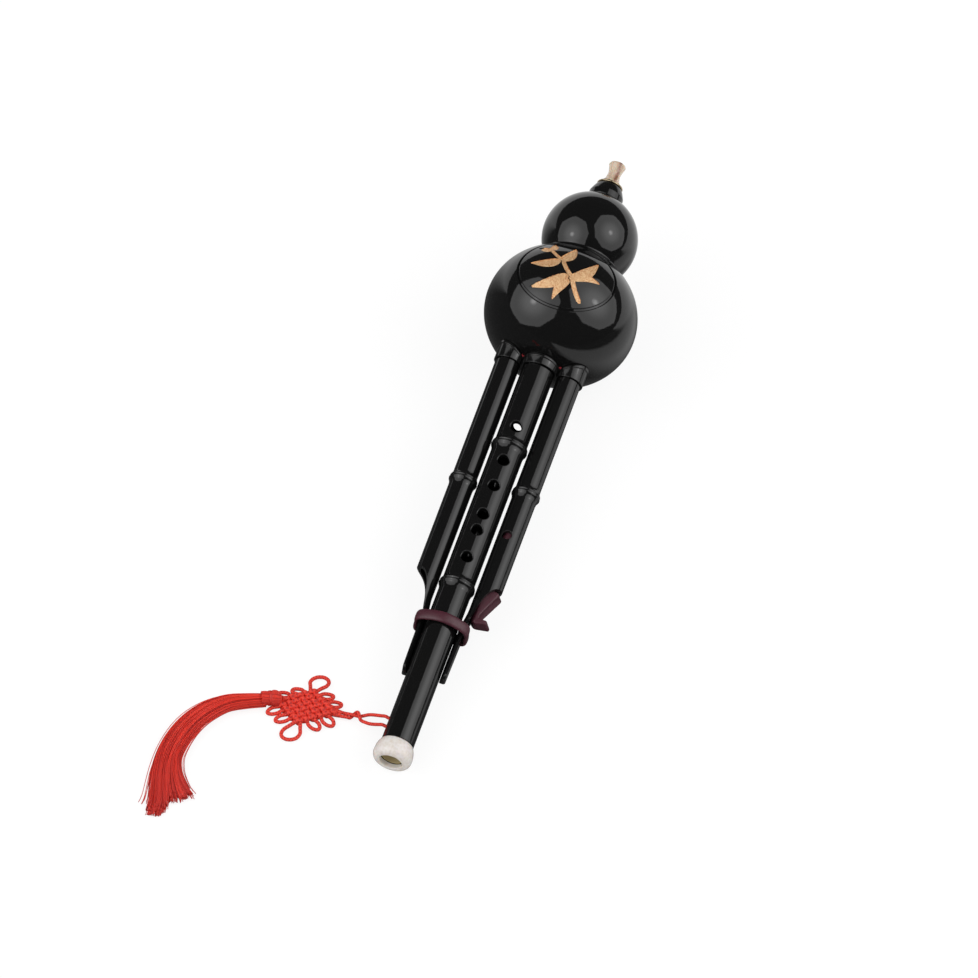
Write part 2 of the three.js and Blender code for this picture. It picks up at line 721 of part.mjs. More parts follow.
// Rings of points joined into a closed skin, as a loop or with a cap at each end.
function loft(rings, looped) {
  const count = rings[0].length;
  const places = [];
  for (const ring of rings) for (const point of ring) places.push(point.x, point.y, point.z);
  const index = [];
  const last = looped ? rings.length : rings.length - 1;
  for (let i = 0; i < last; i += 1) {
    const here = i * count;
    const next = ((i + 1) % rings.length) * count;
    for (let j = 0; j < count; j += 1) {
      const k = (j + 1) % count;
      index.push(here + j, here + k, next + k, here + j, next + k, next + j);
    }
  }
  if (!looped) {
    for (let j = 1; j < count - 1; j += 1) {
      index.push(0, j + 1, j);
      const end = (rings.length - 1) * count;
      index.push(end, end + j, end + j + 1);
    }
  }
  const geometry = new THREE.BufferGeometry();
  geometry.setAttribute('position', new THREE.Float32BufferAttribute(places, 3));
  geometry.setIndex(index);
  return toSolid(geometry);
}

// A round cord along a curve.
function cordAlong(points, diameter, steps) {
  const curve = new THREE.CatmullRomCurve3(points, false, 'centripetal');
  const section = new THREE.Shape();
  section.absarc(0, 0, diameter / 2, 0, 2 * Math.PI, false);
  const settings = { steps, curveSegments: cordSides / 2, extrudePath: curve };
  const extruded = new THREE.ExtrudeGeometry(section, settings);
  return toSolid(extruded);
}

// How high the axis of the instrument lies, and how far it tips, with the gourd and the foot cap
// both on the floor.
function settle(gourd, cap) {
  const lowest = (solid, tilt) => {
    const { vertProperties } = solid.getMesh();
    let low = Infinity;
    for (let i = 0; i < vertProperties.length; i += 3) {
      const height = vertProperties[i] * Math.sin(tilt) + vertProperties[i + 2] * Math.cos(tilt);
      low = Math.min(low, height);
    }
    return low;
  };
  let [flat, steep] = [0, steepestTilt];
  for (let i = 0; i < tiltSteps; i += 1) {
    const middle = (flat + steep) / 2;
    if (lowest(gourd, middle) < lowest(cap, middle)) flat = middle;
    else steep = middle;
  }
  return { tilt: flat, height: -Math.min(lowest(gourd, flat), lowest(cap, flat)) };
}

// A place on the instrument, in the frame of the floor.
function overFloor(station, side, front, pose) {
  const [cos, sin] = [Math.cos(pose.tilt), Math.sin(pose.tilt)];
  return new THREE.Vector3(
    station * cos - front * sin, side, pose.height + station * sin + front * cos);
}

function cordStrand(station, route, pose) {
  const angle = THREE.MathUtils.degToRad(cordHoleAngle);
  const mouth = [melodyBoreRadius + fitGap, melodyRadius, melodyRadius + cordDiameter / 2];
  const points = mouth.map((radius) =>
    overFloor(station, radius * Math.cos(angle), -radius * Math.sin(angle), pose));
  for (const [x, y, z] of route) points.push(new THREE.Vector3(x, y, z));
  return cordAlong(points, cordDiameter, route.length * 2);
}

// The turn of the cord inside the pipe, from one hole to the other.
function cordBight(pose) {
  const angle = THREE.MathUtils.degToRad(cordHoleAngle);
  const radius = melodyBoreRadius - 2 * fitGap - cordDiameter;
  const [low, high] = cordHoleStations;
  const reach = radius + cordDiameter;
  const turn = cordDiameter * bightTurnShare;
  const at = (station, r) =>
    overFloor(station, r * Math.cos(angle), -r * Math.sin(angle), pose);
  return cordAlong([
    at(low, reach), at(low + turn, radius), at((low + high) / 2, radius - fitGap),
    at(high - turn, radius), at(high, reach),
  ], cordDiameter, bightSteps);
}

// The points of a loop: out along one side of it, and back along the other.
function thereAndBack(shares, at) {
  const out = shares.map(([along, across]) => at(along, across));
  const back = shares.slice(0, -1).reverse().map(([along, across]) => at(along, -across));
  return [...out, ...back];
}

// The flat woven knot: two layers of runs that cross, joined by ears along the edges and by a
// large loop at two of the corners. The other two corners take the cord and the tassel.
function wovenKnot() {
  const low = knotCordDiameter / 2 + knotFloorGap;
  const high = low + knotLayer;
  const half = knotPitch * knotRuns / 2;
  const at = (a, b, z) => new THREE.Vector3(a, b, z);
  const place = (run) => (run - (knotRuns - 1) / 2) * knotPitch;
  let knot = null;
  const join = (points, steps) => {
    const piece = cordAlong(points, knotCordDiameter, steps);
    knot = knot ? knot.add(piece) : piece;
  };
  for (let run = 0; run < knotRuns; run += 1) {
    join([at(-half, place(run), low), at(half, place(run), low)], 1);
    join([at(place(run), -half, high), at(place(run), half, high)], 1);
  }
  for (let run = 1; run < knotRuns - 1; run += 2) {
    const [near, far] = [place(run), place(run + 1)];
    const middle = (near + far) / 2;
    const wide = (far - near) / 2 + earBulge;
    const ear = thereAndBack(earShares, (along, across) =>
      [half + earLength * along, middle + wide * across]);
    ear.unshift([half * earRootShare, far]);
    ear.push([half * earRootShare, near]);
    for (const end of [-1, 1]) {
      join(ear.map(([out, across]) => at(out * end, across, low)), earSteps);
      join(ear.map(([out, across]) => at(across, out * end, high)), earSteps);
    }
  }
  const edge = place(knotRuns - 1);
  const reach = cornerLoopLength / Math.SQRT2;
  const spread = cornerLoopWidth / 2 / Math.SQRT2;
  const loop = thereAndBack(cornerLoopShares, (along, across) =>
    [half + reach * along + spread * across, half + reach * along - spread * across]);
  loop.unshift([half, edge]);
  loop.push([edge, half]);
  const climb = (high - low) / (loop.length - 1);
  for (const end of [-1, 1]) {
    join(loop.map(([a, b], i) => at(a * end, -b * end, low + climb * i)), cornerSteps);
  }
  knot = knot.rotate([0, 0, knotTurn - 45]).translate(knotCentre[0], knotCentre[1], 0);
  return knot.add(knotTail(low, high));
}

// The end of the knot's cord, which runs on into the head of the tassel.
function knotTail(low, high) {
  const [x, y] = knotCentre;
  const [headX, headY] = tasselHeadStart;
  const at = (share, z) => new THREE.Vector3(x + (headX - x) * share, y + (headY - y) * share, z);
  const middle = (low + high) / 2;
  const end = 1 - fitGap / Math.hypot(headX - x, headY - y);
  const [root, flat, rising] = knotTailShares;
  return cordAlong([
    at(root, middle), at(flat, middle), at(rising, (middle + tasselHeadRadius) / 2),
    at(end, tasselHeadRadius * knotTailRiseShare),
  ], knotCordDiameter, tailSteps);
}

// The bound head of the tassel, lying on the floor.
function tasselHead() {
  const side = tasselHeadShares.map(([wide, along]) =>
    [tasselHeadRadius * wide, tasselHeadLength * along]);
  return turned([[0, 0], ...side, [0, tasselHeadLength]], turnedSides)
    .rotate([0, 0, tasselHeadTurn])
    .translate(tasselHeadStart[0], tasselHeadStart[1], tasselHeadRadius + knotFloorGap);
}

// The bundle of strands, as one fluted form that widens and flattens towards its cut end.
function tasselSkirt() {
  const middle = tasselRoute.map(([x, y]) => new THREE.Vector2(x, y));
  const headTurn = THREE.MathUtils.degToRad(tasselHeadTurn);
  const rings = tasselRoute.map(([, , width, height], i) => {
    const before = middle[Math.max(i - 1, 0)];
    const after = middle[Math.min(i + 1, middle.length - 1)];
    const along = new THREE.Vector2().subVectors(after, before).normalize();
    if (i === 0) along.set(1, 0).rotateAround(new THREE.Vector2(), headTurn);
    const ring = [];
    for (let j = 0; j < tasselFlutes * 2; j += 1) {
      const turn = (j / (tasselFlutes * 2)) * 2 * Math.PI;
      const flute = 1 - (j % 2) * tasselFluteShare;
      const across = Math.cos(turn) * width / 2 * flute;
      const up = Math.max(Math.sin(turn) * height / 2 * flute, -height / 2 * bundleSagShare);
      ring.push(new THREE.Vector3(
        middle[i].x - along.y * across, middle[i].y + along.x * across,
        height / 2 * bundleSagShare + knotFloorGap + up));
    }
    return ring;
  });
  return loft(rings, false);
}

function mesh(name, solid, finish) {
  const piece = new THREE.Mesh(toGeometry(solid), finish);
  piece.name = name;
  return piece;
}

const gourd = gourdBody();
const cap = footCap();
const pose = settle(gourd, cap);

const instrument = new THREE.Group();
instrument.add(
  mesh('gourd_body', gourd, lacquer),
  mesh('neck_ferrule', neckFerrule(), lacquer),
  mesh('ferrule_ring', ferruleRing(), silver),
  mesh('mouthpiece', mouthpiece(), horn),
  mesh('mouthpiece_cork', mouthpieceCork(), cork),
  mesh('pipe_seat', pipeSeat(), lacquer),
  mesh('seat_gasket', seatGasket(), redThread),
  mesh('melody_pipe', melodyPipe(), lacquer),
  mesh('foot_cap', cap, jade),
  mesh('melody_lapping', lapping(melodyTenonRadius), redThread),
  mesh('melody_reed', reedPlate(melodyTop, melodyFlat, melodyReedWidth, melodyTongueWidth), brass),
  mesh('rubber_band', rubberBand(), rubber),
  mesh('drone_plug', dronePlug(), rubber),
);

const drones = [
  { name: 'left_drone', side: 1, scoopTop: leftScoopTop, tongueEnd: leftTongueEnd, node: leftNode },
  {
    name: 'right_drone', side: -1, scoopTop: rightScoopTop, tongueEnd: rightTongueEnd,
    node: rightNode, vent: ventStation,
  },
];
for (const drone of drones) {
  const reed = reedPlate(droneTop, droneFlat, droneReedWidth, droneTongueWidth);
  instrument.add(
    mesh(`${drone.name}_pipe`, dronePipe(drone), lacquer),
    mesh(`${drone.name}_lapping`, onDroneAxis(lapping(droneTenonRadius), drone.side), redThread),
    mesh(`${drone.name}_reed`, onDroneAxis(reed, drone.side), brass),
  );
}
instrument.rotation.y = -pose.tilt;
instrument.position.z = pose.height;

const tassel = new THREE.Group();
tassel.add(
  mesh('lower_cord_strand', cordStrand(cordHoleStations[0], lowerStrandRoute, pose), redCord),
  mesh('upper_cord_strand', cordStrand(cordHoleStations[1], upperStrandRoute, pose), redCord),
  mesh('cord_bight', cordBight(pose), redCord),
  mesh('woven_knot', wovenKnot(), redCord),
  mesh('tassel_head', tasselHead(), redCord),
  mesh('tassel_skirt', tasselSkirt(), redCord),
);

// The origin is under the middle of the instrument, without its tassel, on the floor.
const group = new THREE.Group();
group.add(instrument, tassel);
group.updateMatrixWorld(true);
const size = new THREE.Box3().setFromObject(instrument, true);
group.position.x = -(size.min.x + size.max.x) / 2;
group.updateMatrixWorld(true);

export default group;
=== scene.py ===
"""A gourd flute of lacquered bamboo with its red knot and tassel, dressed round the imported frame.

Lengths in this file are in millimetres until Lie.place or Lie.floor turns them into metres.
Pieces of the instrument are drawn and cut along the pipes: a station from the foot to the
mouthpiece, a place to the side of the tassel, and a place to the front, where the finger holes
are. Then they are laid.
"""
import json
import logging
import math
from dataclasses import dataclass
from enum import Enum
from typing import Callable, Iterable, Sequence

import bmesh
import bpy
import numpy as np
from mathutils import Matrix, Vector


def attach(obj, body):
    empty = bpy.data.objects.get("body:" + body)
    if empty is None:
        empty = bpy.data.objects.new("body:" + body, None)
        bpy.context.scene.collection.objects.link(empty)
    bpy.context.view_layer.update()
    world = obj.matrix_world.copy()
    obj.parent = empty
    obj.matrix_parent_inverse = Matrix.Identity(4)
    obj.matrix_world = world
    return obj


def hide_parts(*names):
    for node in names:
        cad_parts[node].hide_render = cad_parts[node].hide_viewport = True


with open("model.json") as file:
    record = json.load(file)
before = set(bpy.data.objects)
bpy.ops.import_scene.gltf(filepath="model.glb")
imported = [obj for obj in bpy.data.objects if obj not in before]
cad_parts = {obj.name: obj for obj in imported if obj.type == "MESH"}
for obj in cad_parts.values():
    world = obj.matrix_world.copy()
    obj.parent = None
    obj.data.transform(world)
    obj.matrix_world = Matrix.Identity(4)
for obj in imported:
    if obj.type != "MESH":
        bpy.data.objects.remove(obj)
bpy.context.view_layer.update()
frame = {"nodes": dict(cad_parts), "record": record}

MM = 0.001
LOG = logging.getLogger("gourd_flute")

Profile = list[tuple[float, float]]
RadiusAt = Callable[[np.ndarray], np.ndarray]


class Side(Enum):
    """The side of the melody pipe that a drone stands on, as the sign of its place."""

    LEFT = 1
    RIGHT = -1


class Cut(Enum):
    """The three ways in which one solid changes another."""

    TAKE = "DIFFERENCE"
    JOIN = "UNION"
    KEEP = "INTERSECT"


@dataclass(frozen=True)
class Lie:
    """How the instrument lies on the floor: the foot of the melody pipe and its two directions."""

    foot: np.ndarray
    along: np.ndarray
    front: np.ndarray

    def place(self, points: np.ndarray) -> np.ndarray:
        """Turns stations, sides and fronts in millimetres into metres in the row's frame.

        Args:
            points: Rows of station, side and front.

        Returns:
            Rows of x, y and z.
        """
        points = np.asarray(points, float) * MM
        side = np.array([0.0, 1.0, 0.0])
        return (self.foot + points[:, :1] * self.along + points[:, 1:2] * side
                + points[:, 2:3] * self.front)

    def read(self, points: np.ndarray) -> np.ndarray:
        """Turns metres in the row's frame back into stations, sides and fronts.

        Args:
            points: Rows of x, y and z.

        Returns:
            Rows of station, side and front in millimetres.
        """
        away = (points - self.foot) / MM
        return np.stack([away @ self.along, away[:, 1], away @ self.front], axis=1)

    def floor(self, points: np.ndarray) -> np.ndarray:
        """Turns places on the floor, measured from the foot, into metres in the row's frame.

        Args:
            points: Rows of place along, place to the side and height in millimetres.

        Returns:
            Rows of x, y and z.
        """
        origin = np.array([self.foot[0], 0.0, 0.0])
        return origin + np.asarray(points, float) * MM


def lie_of(record: dict) -> Lie:
    """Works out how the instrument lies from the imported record.

    Args:
        record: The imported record, with its mounts and joints.

    Returns:
        The foot and the directions of the melody pipe.
    """
    mount = next(m for m in record["mounts"] if m["name"] == "foot_face")
    slide = next(j for j in record["behaviour"]["joints"] if j["name"] == "melody_pipe_slide")
    along = -np.array(slide["axis"], float)
    along /= np.linalg.norm(along)
    front = np.array([-along[2], 0.0, along[0]])
    foot = np.array([mount["pos_m"][0], 0.0, mount["pos_m"][2]])
    return Lie(foot, along, front)


LIE = lie_of(frame["record"])


# Curves and profiles


def smooth(points: Sequence[tuple[float, float]]) -> RadiusAt:
    """Makes a smooth function through points that never overshoots them, flat outside them.

    Args:
        points: Pairs of place and value, with rising places.

    Returns:
        A function of an array of places.
    """
    xs = np.array([p[0] for p in points], float)
    ys = np.array([p[1] for p in points], float)
    rises = np.diff(ys) / np.diff(xs)
    before, after = rises[:-1], rises[1:]
    same = before * after > 0
    total = np.where(same, before + after, 1.0)
    slopes = np.concatenate([[0.0], np.where(same, 2 * before * after / total, 0.0), [0.0]])

    def value(at: np.ndarray) -> np.ndarray:
        at = np.clip(np.asarray(at, float), xs[0], xs[-1])
        i = np.clip(np.searchsorted(xs, at, side="right") - 1, 0, len(xs) - 2)
        width = xs[i + 1] - xs[i]
        t = (at - xs[i]) / width
        return ((1 + 2 * t) * (1 - t) ** 2 * ys[i] + t * (1 - t) ** 2 * width * slopes[i]
                + t * t * (3 - 2 * t) * ys[i + 1] + t * t * (t - 1) * width * slopes[i + 1])

    return value


def spline(points: np.ndarray, steps: int, closed: bool = False) -> np.ndarray:
    """Runs a centripetal Catmull-Rom curve through points and samples it evenly.

    Args:
        points: Rows of coordinates that the curve passes through.
        steps: The number of stretches between samples.
        closed: Whether the last point joins the first.

    Returns:
        Rows of coordinates, without a repeat of the first where the curve is closed.
    """
    points = np.asarray(points, float)
    count = len(points)
    if closed:
        chain = np.vstack([points[-1:], points, points[:2]])
        spans = count
    else:
        chain = np.vstack([2 * points[:1] - points[1:2], points, 2 * points[-1:] - points[-2:-1]])
        spans = count - 1
    dense = []
    for i in range(spans):
        p = chain[i:i + 4]
        chords = np.linalg.norm(np.diff(p, axis=0), axis=1) ** 0.5
        knots = np.concatenate([[0.0], np.cumsum(chords)])
        t = np.linspace(knots[1], knots[2], 24, endpoint=False)[:, None]
        a = [(knots[k + 1] - t) / (knots[k + 1] - knots[k]) * p[k]
             + (t - knots[k]) / (knots[k + 1] - knots[k]) * p[k + 1] for k in range(3)]
        b = [(knots[k + 2] - t) / (knots[k + 2] - knots[k]) * a[k]
             + (t - knots[k]) / (knots[k + 2] - knots[k]) * a[k + 1] for k in range(2)]
        dense.append((knots[2] - t) / (knots[2] - knots[1]) * b[0]
                     + (t - knots[1]) / (knots[2] - knots[1]) * b[1])
    line = np.vstack([*dense, points[:1] if closed else points[-1:]])
    reach = np.concatenate([[0.0], np.cumsum(np.linalg.norm(np.diff(line, axis=0), axis=1))])
    at = np.linspace(0, reach[-1], steps + 1)
    even = np.stack([np.interp(at, reach, line[:, k]) for k in range(line.shape[1])], axis=1)
    return even[:-1] if closed else even


def rounded(profile: Profile, radius: float, steps: int = 4) -> Profile:
    """Rounds the corners of a profile, each by the radius or by what its edges allow.

    Args:
        profile: Corners of radius and station; the first and last stay as they are.
        radius: The radius of the rounding in millimetres.
        steps: The stretches in each rounded corner.

    Returns:
        The profile with its corners rounded.
    """
    points = [np.array(p, float) for p in profile]
    out = [points[0]]
    for before, corner, after in zip(points, points[1:], points[2:]):
        a, b = before - corner, after - corner
        size_a, size_b = np.linalg.norm(a), np.linalg.norm(b)
        reach = min(radius, size_a * 0.45, size_b * 0.45)
        start, end = corner + a / size_a * reach, corner + b / size_b * reach
        for i in range(steps + 1):
            t = i / steps
            out.append((1 - t) ** 2 * start + 2 * t * (1 - t) * corner + t * t * end)
    out.append(points[-1])
    return [(float(p[0]), float(p[1])) for p in out]


# Meshes


def piece(name: str, points: np.ndarray, faces: Iterable[Sequence[int]], merge: float = 1e-4,
          smooth_shade: bool = True) -> bpy.types.Object:
    """Makes a mesh object from points.

    Args:
        name: The piece's name.
        points: Rows of coordinates.
        faces: The corners of each face.
        merge: The distance under which points become one.
        smooth_shade: Whether the faces are shaded as one curved surface.

    Returns:
        The new object, with its faces turned outwards.
    """
    mesh = bpy.data.meshes.new(name)
    mesh.from_pydata([tuple(p) for p in points], [], [tuple(f) for f in faces])
    work = bmesh.new()
    work.from_mesh(mesh)
    bmesh.ops.remove_doubles(work, verts=work.verts, dist=merge)
    bmesh.ops.recalc_face_normals(work, faces=work.faces)
    work.to_mesh(mesh)
    work.free()
    mesh.polygons.foreach_set("use_smooth", [smooth_shade] * len(mesh.polygons))
    obj = bpy.data.objects.new(name, mesh)
    bpy.context.scene.collection.objects.link(obj)
    return obj


def turned(name: str, profile: Profile, sides: int, side: float = 0.0,
           front: float = 0.0) -> bpy.types.Object:
    """Turns a profile about a line along the pipes.

    Args:
        name: The piece's name.
        profile: Radius and station of each point; it starts and ends on the axis or at one place.
        sides: The number of facets round the axis.
        side: The axis's place to the side.
        front: The axis's place to the front.

    Returns:
        The turned piece.
    """
    turns = np.arange(sides) * 2 * math.pi / sides
    rings = np.array(profile, float)
    looped = bool(np.allclose(rings[0], rings[-1]))
    if looped:
        rings = rings[:-1]
    points = np.empty((len(rings), sides, 3))
    points[..., 0] = rings[:, 1:2]
    points[..., 1] = side + rings[:, :1] * np.sin(turns)
    points[..., 2] = front + rings[:, :1] * np.cos(turns)
    last = len(rings) if looped else len(rings) - 1
    faces = []
    for i in range(last):
        here, there = i * sides, (i + 1) % len(rings) * sides
        for j in range(sides):
            k = (j + 1) % sides
            if rings[i][0] == 0:
                faces.append((here, there + j, there + k))
            elif rings[(i + 1) % len(rings)][0] == 0:
                faces.append((here + j, here + k, there))
            else:
                faces.append((here + j, here + k, there + k, there + j))
    return piece(name, points.reshape(-1, 3), faces)


def rod(name: str, radius: float, start: float, end: float, sides: int, side: float = 0.0,
        front: float = 0.0) -> bpy.types.Object:
    """Makes a plain rod along the pipes.

    Args:
        name: The piece's name.
        radius: Its radius.
        start: The station where it starts.
        end: The station where it ends.
        sides: The number of facets.
        side: Its place to the side.
        front: Its place to the front.

    Returns:
        The rod.
    """
    return turned(name, [(0, start), (radius, start), (radius, end), (0, end)], sides, side, front)


def prism(outline: np.ndarray, ends: tuple[float, float],
          to_frame: Callable[[np.ndarray], np.ndarray], name: str = "cutter") -> bpy.types.Object:
    """Extrudes a flat outline.

    Args:
        outline: Rows of two coordinates.
        ends: Where the third coordinate starts and ends.
        to_frame: Turns rows of the three coordinates into station, side and front.
        name: The piece's name.

    Returns:
        The extruded piece.
    """
    count = len(outline)
    points = np.vstack([np.column_stack([outline, np.full(count, end)]) for end in ends])
    faces = [(j, (j + 1) % count, count + (j + 1) % count, count + j) for j in range(count)]
    faces += [tuple(range(count)), tuple(range(count, 2 * count))]
    return piece(name, to_frame(points), faces)


def skinned(name: str, rings: np.ndarray, looped: bool = False) -> bpy.types.Object:
    """Joins rings of points into a closed skin, as a loop or with a cap at each end.

    Args:
        name: The piece's name.
        rings: An array of rings, points and coordinates.
        looped: Whether the last ring joins the first.

    Returns:
        The skinned piece.
    """
    count, size = rings.shape[:2]
    faces = grid_faces(count, size, looped)
    if not looped:
        faces += [tuple(range(size)), tuple(range((count - 1) * size, count * size))]
    return piece(name, rings.reshape(-1, 3), faces)


def grid_faces(count: int, size: int, looped: bool, first: int = 0) -> list[tuple[int, ...]]:
    """Lists the faces between rings of points.

    Args:
        count: The number of rings.
        size: The number of points in a ring.
        looped: Whether the last ring joins the first.
        first: The number of the first point.

    Returns:
        The faces, as corners.
    """
    rows = np.arange(count if looped else count - 1)
    columns = np.arange(size)
    here = first + rows[:, None] * size
    there = first + (rows[:, None] + 1) % count * size
    after = (columns + 1) % size
    quads = np.stack([here + columns, here + after, there + after, there + columns], axis=-1)
    return [tuple(q) for q in quads.reshape(-1, 4).tolist()]


def baked(obj: bpy.types.Object) -> bpy.types.Object:
    """Applies an object's modifiers to its mesh.

    Args:
        obj: The object.

    Returns:
        The same object, without modifiers.
    """
    shown = obj.evaluated_get(bpy.context.evaluated_depsgraph_get())
    mesh = bpy.data.meshes.new_from_object(shown)
    obj.modifiers.clear()
    obj.data = mesh
    return obj


def carve(obj: bpy.types.Object, tool: bpy.types.Object, way: Cut = Cut.TAKE) -> bpy.types.Object:
    """Cuts one solid by another, or joins them, and removes the tool.

    Args:
        obj: The solid that stays.
        tool: The solid that is used up.
        way: What is done.

    Returns:
        The solid that stays.
    """
    modifier = obj.modifiers.new("carve", "BOOLEAN")
    modifier.object = tool
    modifier.operation = way.value
    modifier.solver = "EXACT"
    bpy.context.view_layer.update()
    baked(obj)
    bpy.data.objects.remove(tool)
    return obj


def soften(obj: bpy.types.Object, width: float, angle: float = 50.0,
           segments: int = 2) -> bpy.types.Object:
    """Rounds the sharp edges of a piece.

    Args:
        obj: The piece.
        width: The width of the rounding in millimetres.
        angle: The least angle of an edge that is rounded, in degrees.
        segments: The stretches across the rounding.

    Returns:
        The same piece.
    """
    work = bmesh.new()
    work.from_mesh(obj.data)
    bmesh.ops.remove_doubles(work, verts=work.verts, dist=width * 0.04)
    bmesh.ops.dissolve_degenerate(work, edges=work.edges, dist=width * 0.02)
    work.to_mesh(obj.data)
    work.free()
    modifier = obj.modifiers.new("soften", "BEVEL")
    modifier.width = width
    modifier.segments = segments
    modifier.limit_method = "ANGLE"
    modifier.angle_limit = math.radians(angle)
    modifier.use_clamp_overlap = False
    bpy.context.view_layer.update()
    return baked(obj)


def laid(obj: bpy.types.Object, radius_at: RadiusAt | None = None, side: float = 0.0,
         front: float = 0.0, sharp: float = 35.0) -> bpy.types.Object:
    """Lays a finished piece on the floor and shades it by its real surface, so that gloss runs
    over it without facets.

    Args:
        obj: The piece.
        radius_at: The radius of its turned surface at a station, where it has one.
        side: The turned surface's place to the side.
        front: Its place to the front.
        sharp: The least angle of an edge that stays crisp, in degrees.

    Returns:
        The same piece.
    """
    mesh = obj.data
    drawn = np.empty(len(mesh.vertices) * 3, np.float32)
    mesh.vertices.foreach_get("co", drawn)
    drawn = drawn.reshape(-1, 3).astype(float)
    mesh.vertices.foreach_set("co", LIE.place(drawn).astype(np.float32).ravel())
    mesh.update()
    mesh.polygons.foreach_set("use_smooth", [True] * len(mesh.polygons))
    mesh.set_sharp_from_angle(angle=math.radians(sharp))
    if radius_at is None:
        return obj
    count = len(mesh.loops)
    normals = np.empty(count * 3, np.float32)
    mesh.corner_normals.foreach_get("vector", normals)
    normals = normals.reshape(-1, 3).astype(float)
    corners = np.empty(count, np.int32)
    mesh.loops.foreach_get("vertex_index", corners)
    local = drawn[corners]
    away = local[:, 1:] - np.array([side, front])
    radius = np.linalg.norm(away, axis=1)
    station = local[:, 0]
    step = 0.02
    slope = (radius_at(station + step) - radius_at(station - step)) / (2 * step)
    outward = away / np.maximum(radius, 1e-6)[:, None]
    real = (-slope[:, None] * LIE.along + outward[:, :1] * np.array([0.0, 1.0, 0.0])
            + outward[:, 1:] * LIE.front)
    real /= np.linalg.norm(real, axis=1)[:, None]
    facing = np.einsum("ij,ij->i", real, normals)
    on_skin = (np.abs(radius - radius_at(station)) < 0.03) & (facing > 0.85)
    normals[on_skin] = real[on_skin]
    mesh.normals_split_custom_set(normals.tolist())
    return obj


def tube(points: np.ndarray, radius: float | np.ndarray, sides: int,
         closed: bool = False) -> np.ndarray:
    """Sweeps a round section along points.

    Args:
        points: Rows of x, y and z.
        radius: The radius, in the points' unit, everywhere or at each point.
        sides: The number of points in a ring.
        closed: Whether the last point joins the first.

    Returns:
        An array of rings, points and coordinates.
    """
    if closed:
        ahead = np.roll(points, -1, axis=0) - np.roll(points, 1, axis=0)
    else:
        ahead = np.gradient(points, axis=0)
    ahead /= np.linalg.norm(ahead, axis=1)[:, None]
    up = np.array([0.0, 0.0, 1.0])
    across = np.cross(up, ahead)
    flat = np.linalg.norm(across, axis=1)[:, None]
    across = np.where(flat > 1e-3, across / np.maximum(flat, 1e-9), np.array([1.0, 0.0, 0.0]))
    over = np.cross(ahead, across)
    turns = np.arange(sides) * 2 * math.pi / sides
    radius = np.broadcast_to(radius, len(points))[:, None, None]
    return (points[:, None, :] + radius * (np.cos(turns)[None, :, None] * across[:, None, :]
                                           + np.sin(turns)[None, :, None] * over[:, None, :]))


def several_tubes(name: str, tubes: list[tuple[np.ndarray, bool]]) -> bpy.types.Object:
    """Makes one object of several tubes, with a map of how far along and round each point is.

    Args:
        name: The piece's name.
        tubes: The rings of each tube, in metres, and whether it closes on itself.

    Returns:
        The piece.
    """
    points, faces, maps, first = [], [], [], 0
    for rings, closed in tubes:
        count, size = rings.shape[:2]
        points.append(rings.reshape(-1, 3))
        faces += grid_faces(count, size, closed, first)
        if not closed:
            faces.append(tuple(range(first, first + size)))
            faces.append(tuple(range(first + (count - 1) * size, first + count * size)))
        middle = rings.mean(axis=1)
        steps = np.linalg.norm(np.diff(middle, axis=0), axis=1)
        reach = np.concatenate([[0.0], np.cumsum(steps)])
        turn = np.arange(size) / size
        maps.append(np.stack(np.meshgrid(reach, turn, indexing="ij"), axis=-1).reshape(-1, 2))
        first += count * size
    mesh = bpy.data.meshes.new(name)
    mesh.from_pydata(np.vstack(points).tolist(), [], faces)
    mesh.polygons.foreach_set("use_smooth", [True] * len(mesh.polygons))
    places = np.vstack(maps)
    for key, column in (("along", 0), ("around", 1)):
        layer = mesh.attributes.new(key, "FLOAT", "POINT")
        layer.data.foreach_set("value", places[:, column].astype(np.float32))
    mesh.validate()
    work = bmesh.new()
    work.from_mesh(mesh)
    bmesh.ops.recalc_face_normals(work, faces=work.faces)
    work.to_mesh(mesh)
    work.free()
    obj = bpy.data.objects.new(name, mesh)
    bpy.context.scene.collection.objects.link(obj)
    return obj


# Finishes


def linear(colour: str) -> tuple[float, float, float, float]:
    """Turns an sRGB hex colour into linear light.

    Args:
        colour: The colour as "#rrggbb".

    Returns:
        Red, green, blue and alpha.
    """
    shares = [int(colour[i:i + 2], 16) / 255 for i in (1, 3, 5)]
    light = [s / 12.92 if s <= 0.04045 else ((s + 0.055) / 1.055) ** 2.4 for s in shares]
    return (*light, 1.0)


def add_node(tree: bpy.types.NodeTree, kind: str, links: dict | None = None,
             **settings: object) -> bpy.types.Node:
    """Adds a node to a tree.

    Args:
        tree: The node tree.
        kind: The node's type.
        links: The socket that feeds each named or numbered input.
        settings: Values of inputs, with _ for a space in a name, or of the node's own properties.

    Returns:
        The node.
    """
    node = tree.nodes.new(kind)
    for key, value in settings.items():
        if hasattr(node, key):
            setattr(node, key, value)
        else:
            node.inputs[key.replace("_", " ")].default_value = value
    for key, socket in (links or {}).items():
        tree.links.new(socket, node.inputs[key])
    return node


def blended(tree: bpy.types.NodeTree, factor: bpy.types.NodeSocket, first: object,
            second: object) -> bpy.types.NodeSocket:
    """Mixes two colours, each a hex colour or a socket.

    Args:
        tree: The node tree.
        factor: The share of the second colour.
        first: The first colour.
        second: The second colour.

    Returns:
        The mixed colour's socket.
    """
    node = tree.nodes.new("ShaderNodeMix")
    node.data_type = "RGBA"
    tree.links.new(factor, node.inputs[0])
    for colour, socket in ((first, node.inputs[6]), (second, node.inputs[7])):
        if isinstance(colour, str):
            socket.default_value = linear(colour)
        else:
            tree.links.new(colour, socket)
    return node.outputs[2]


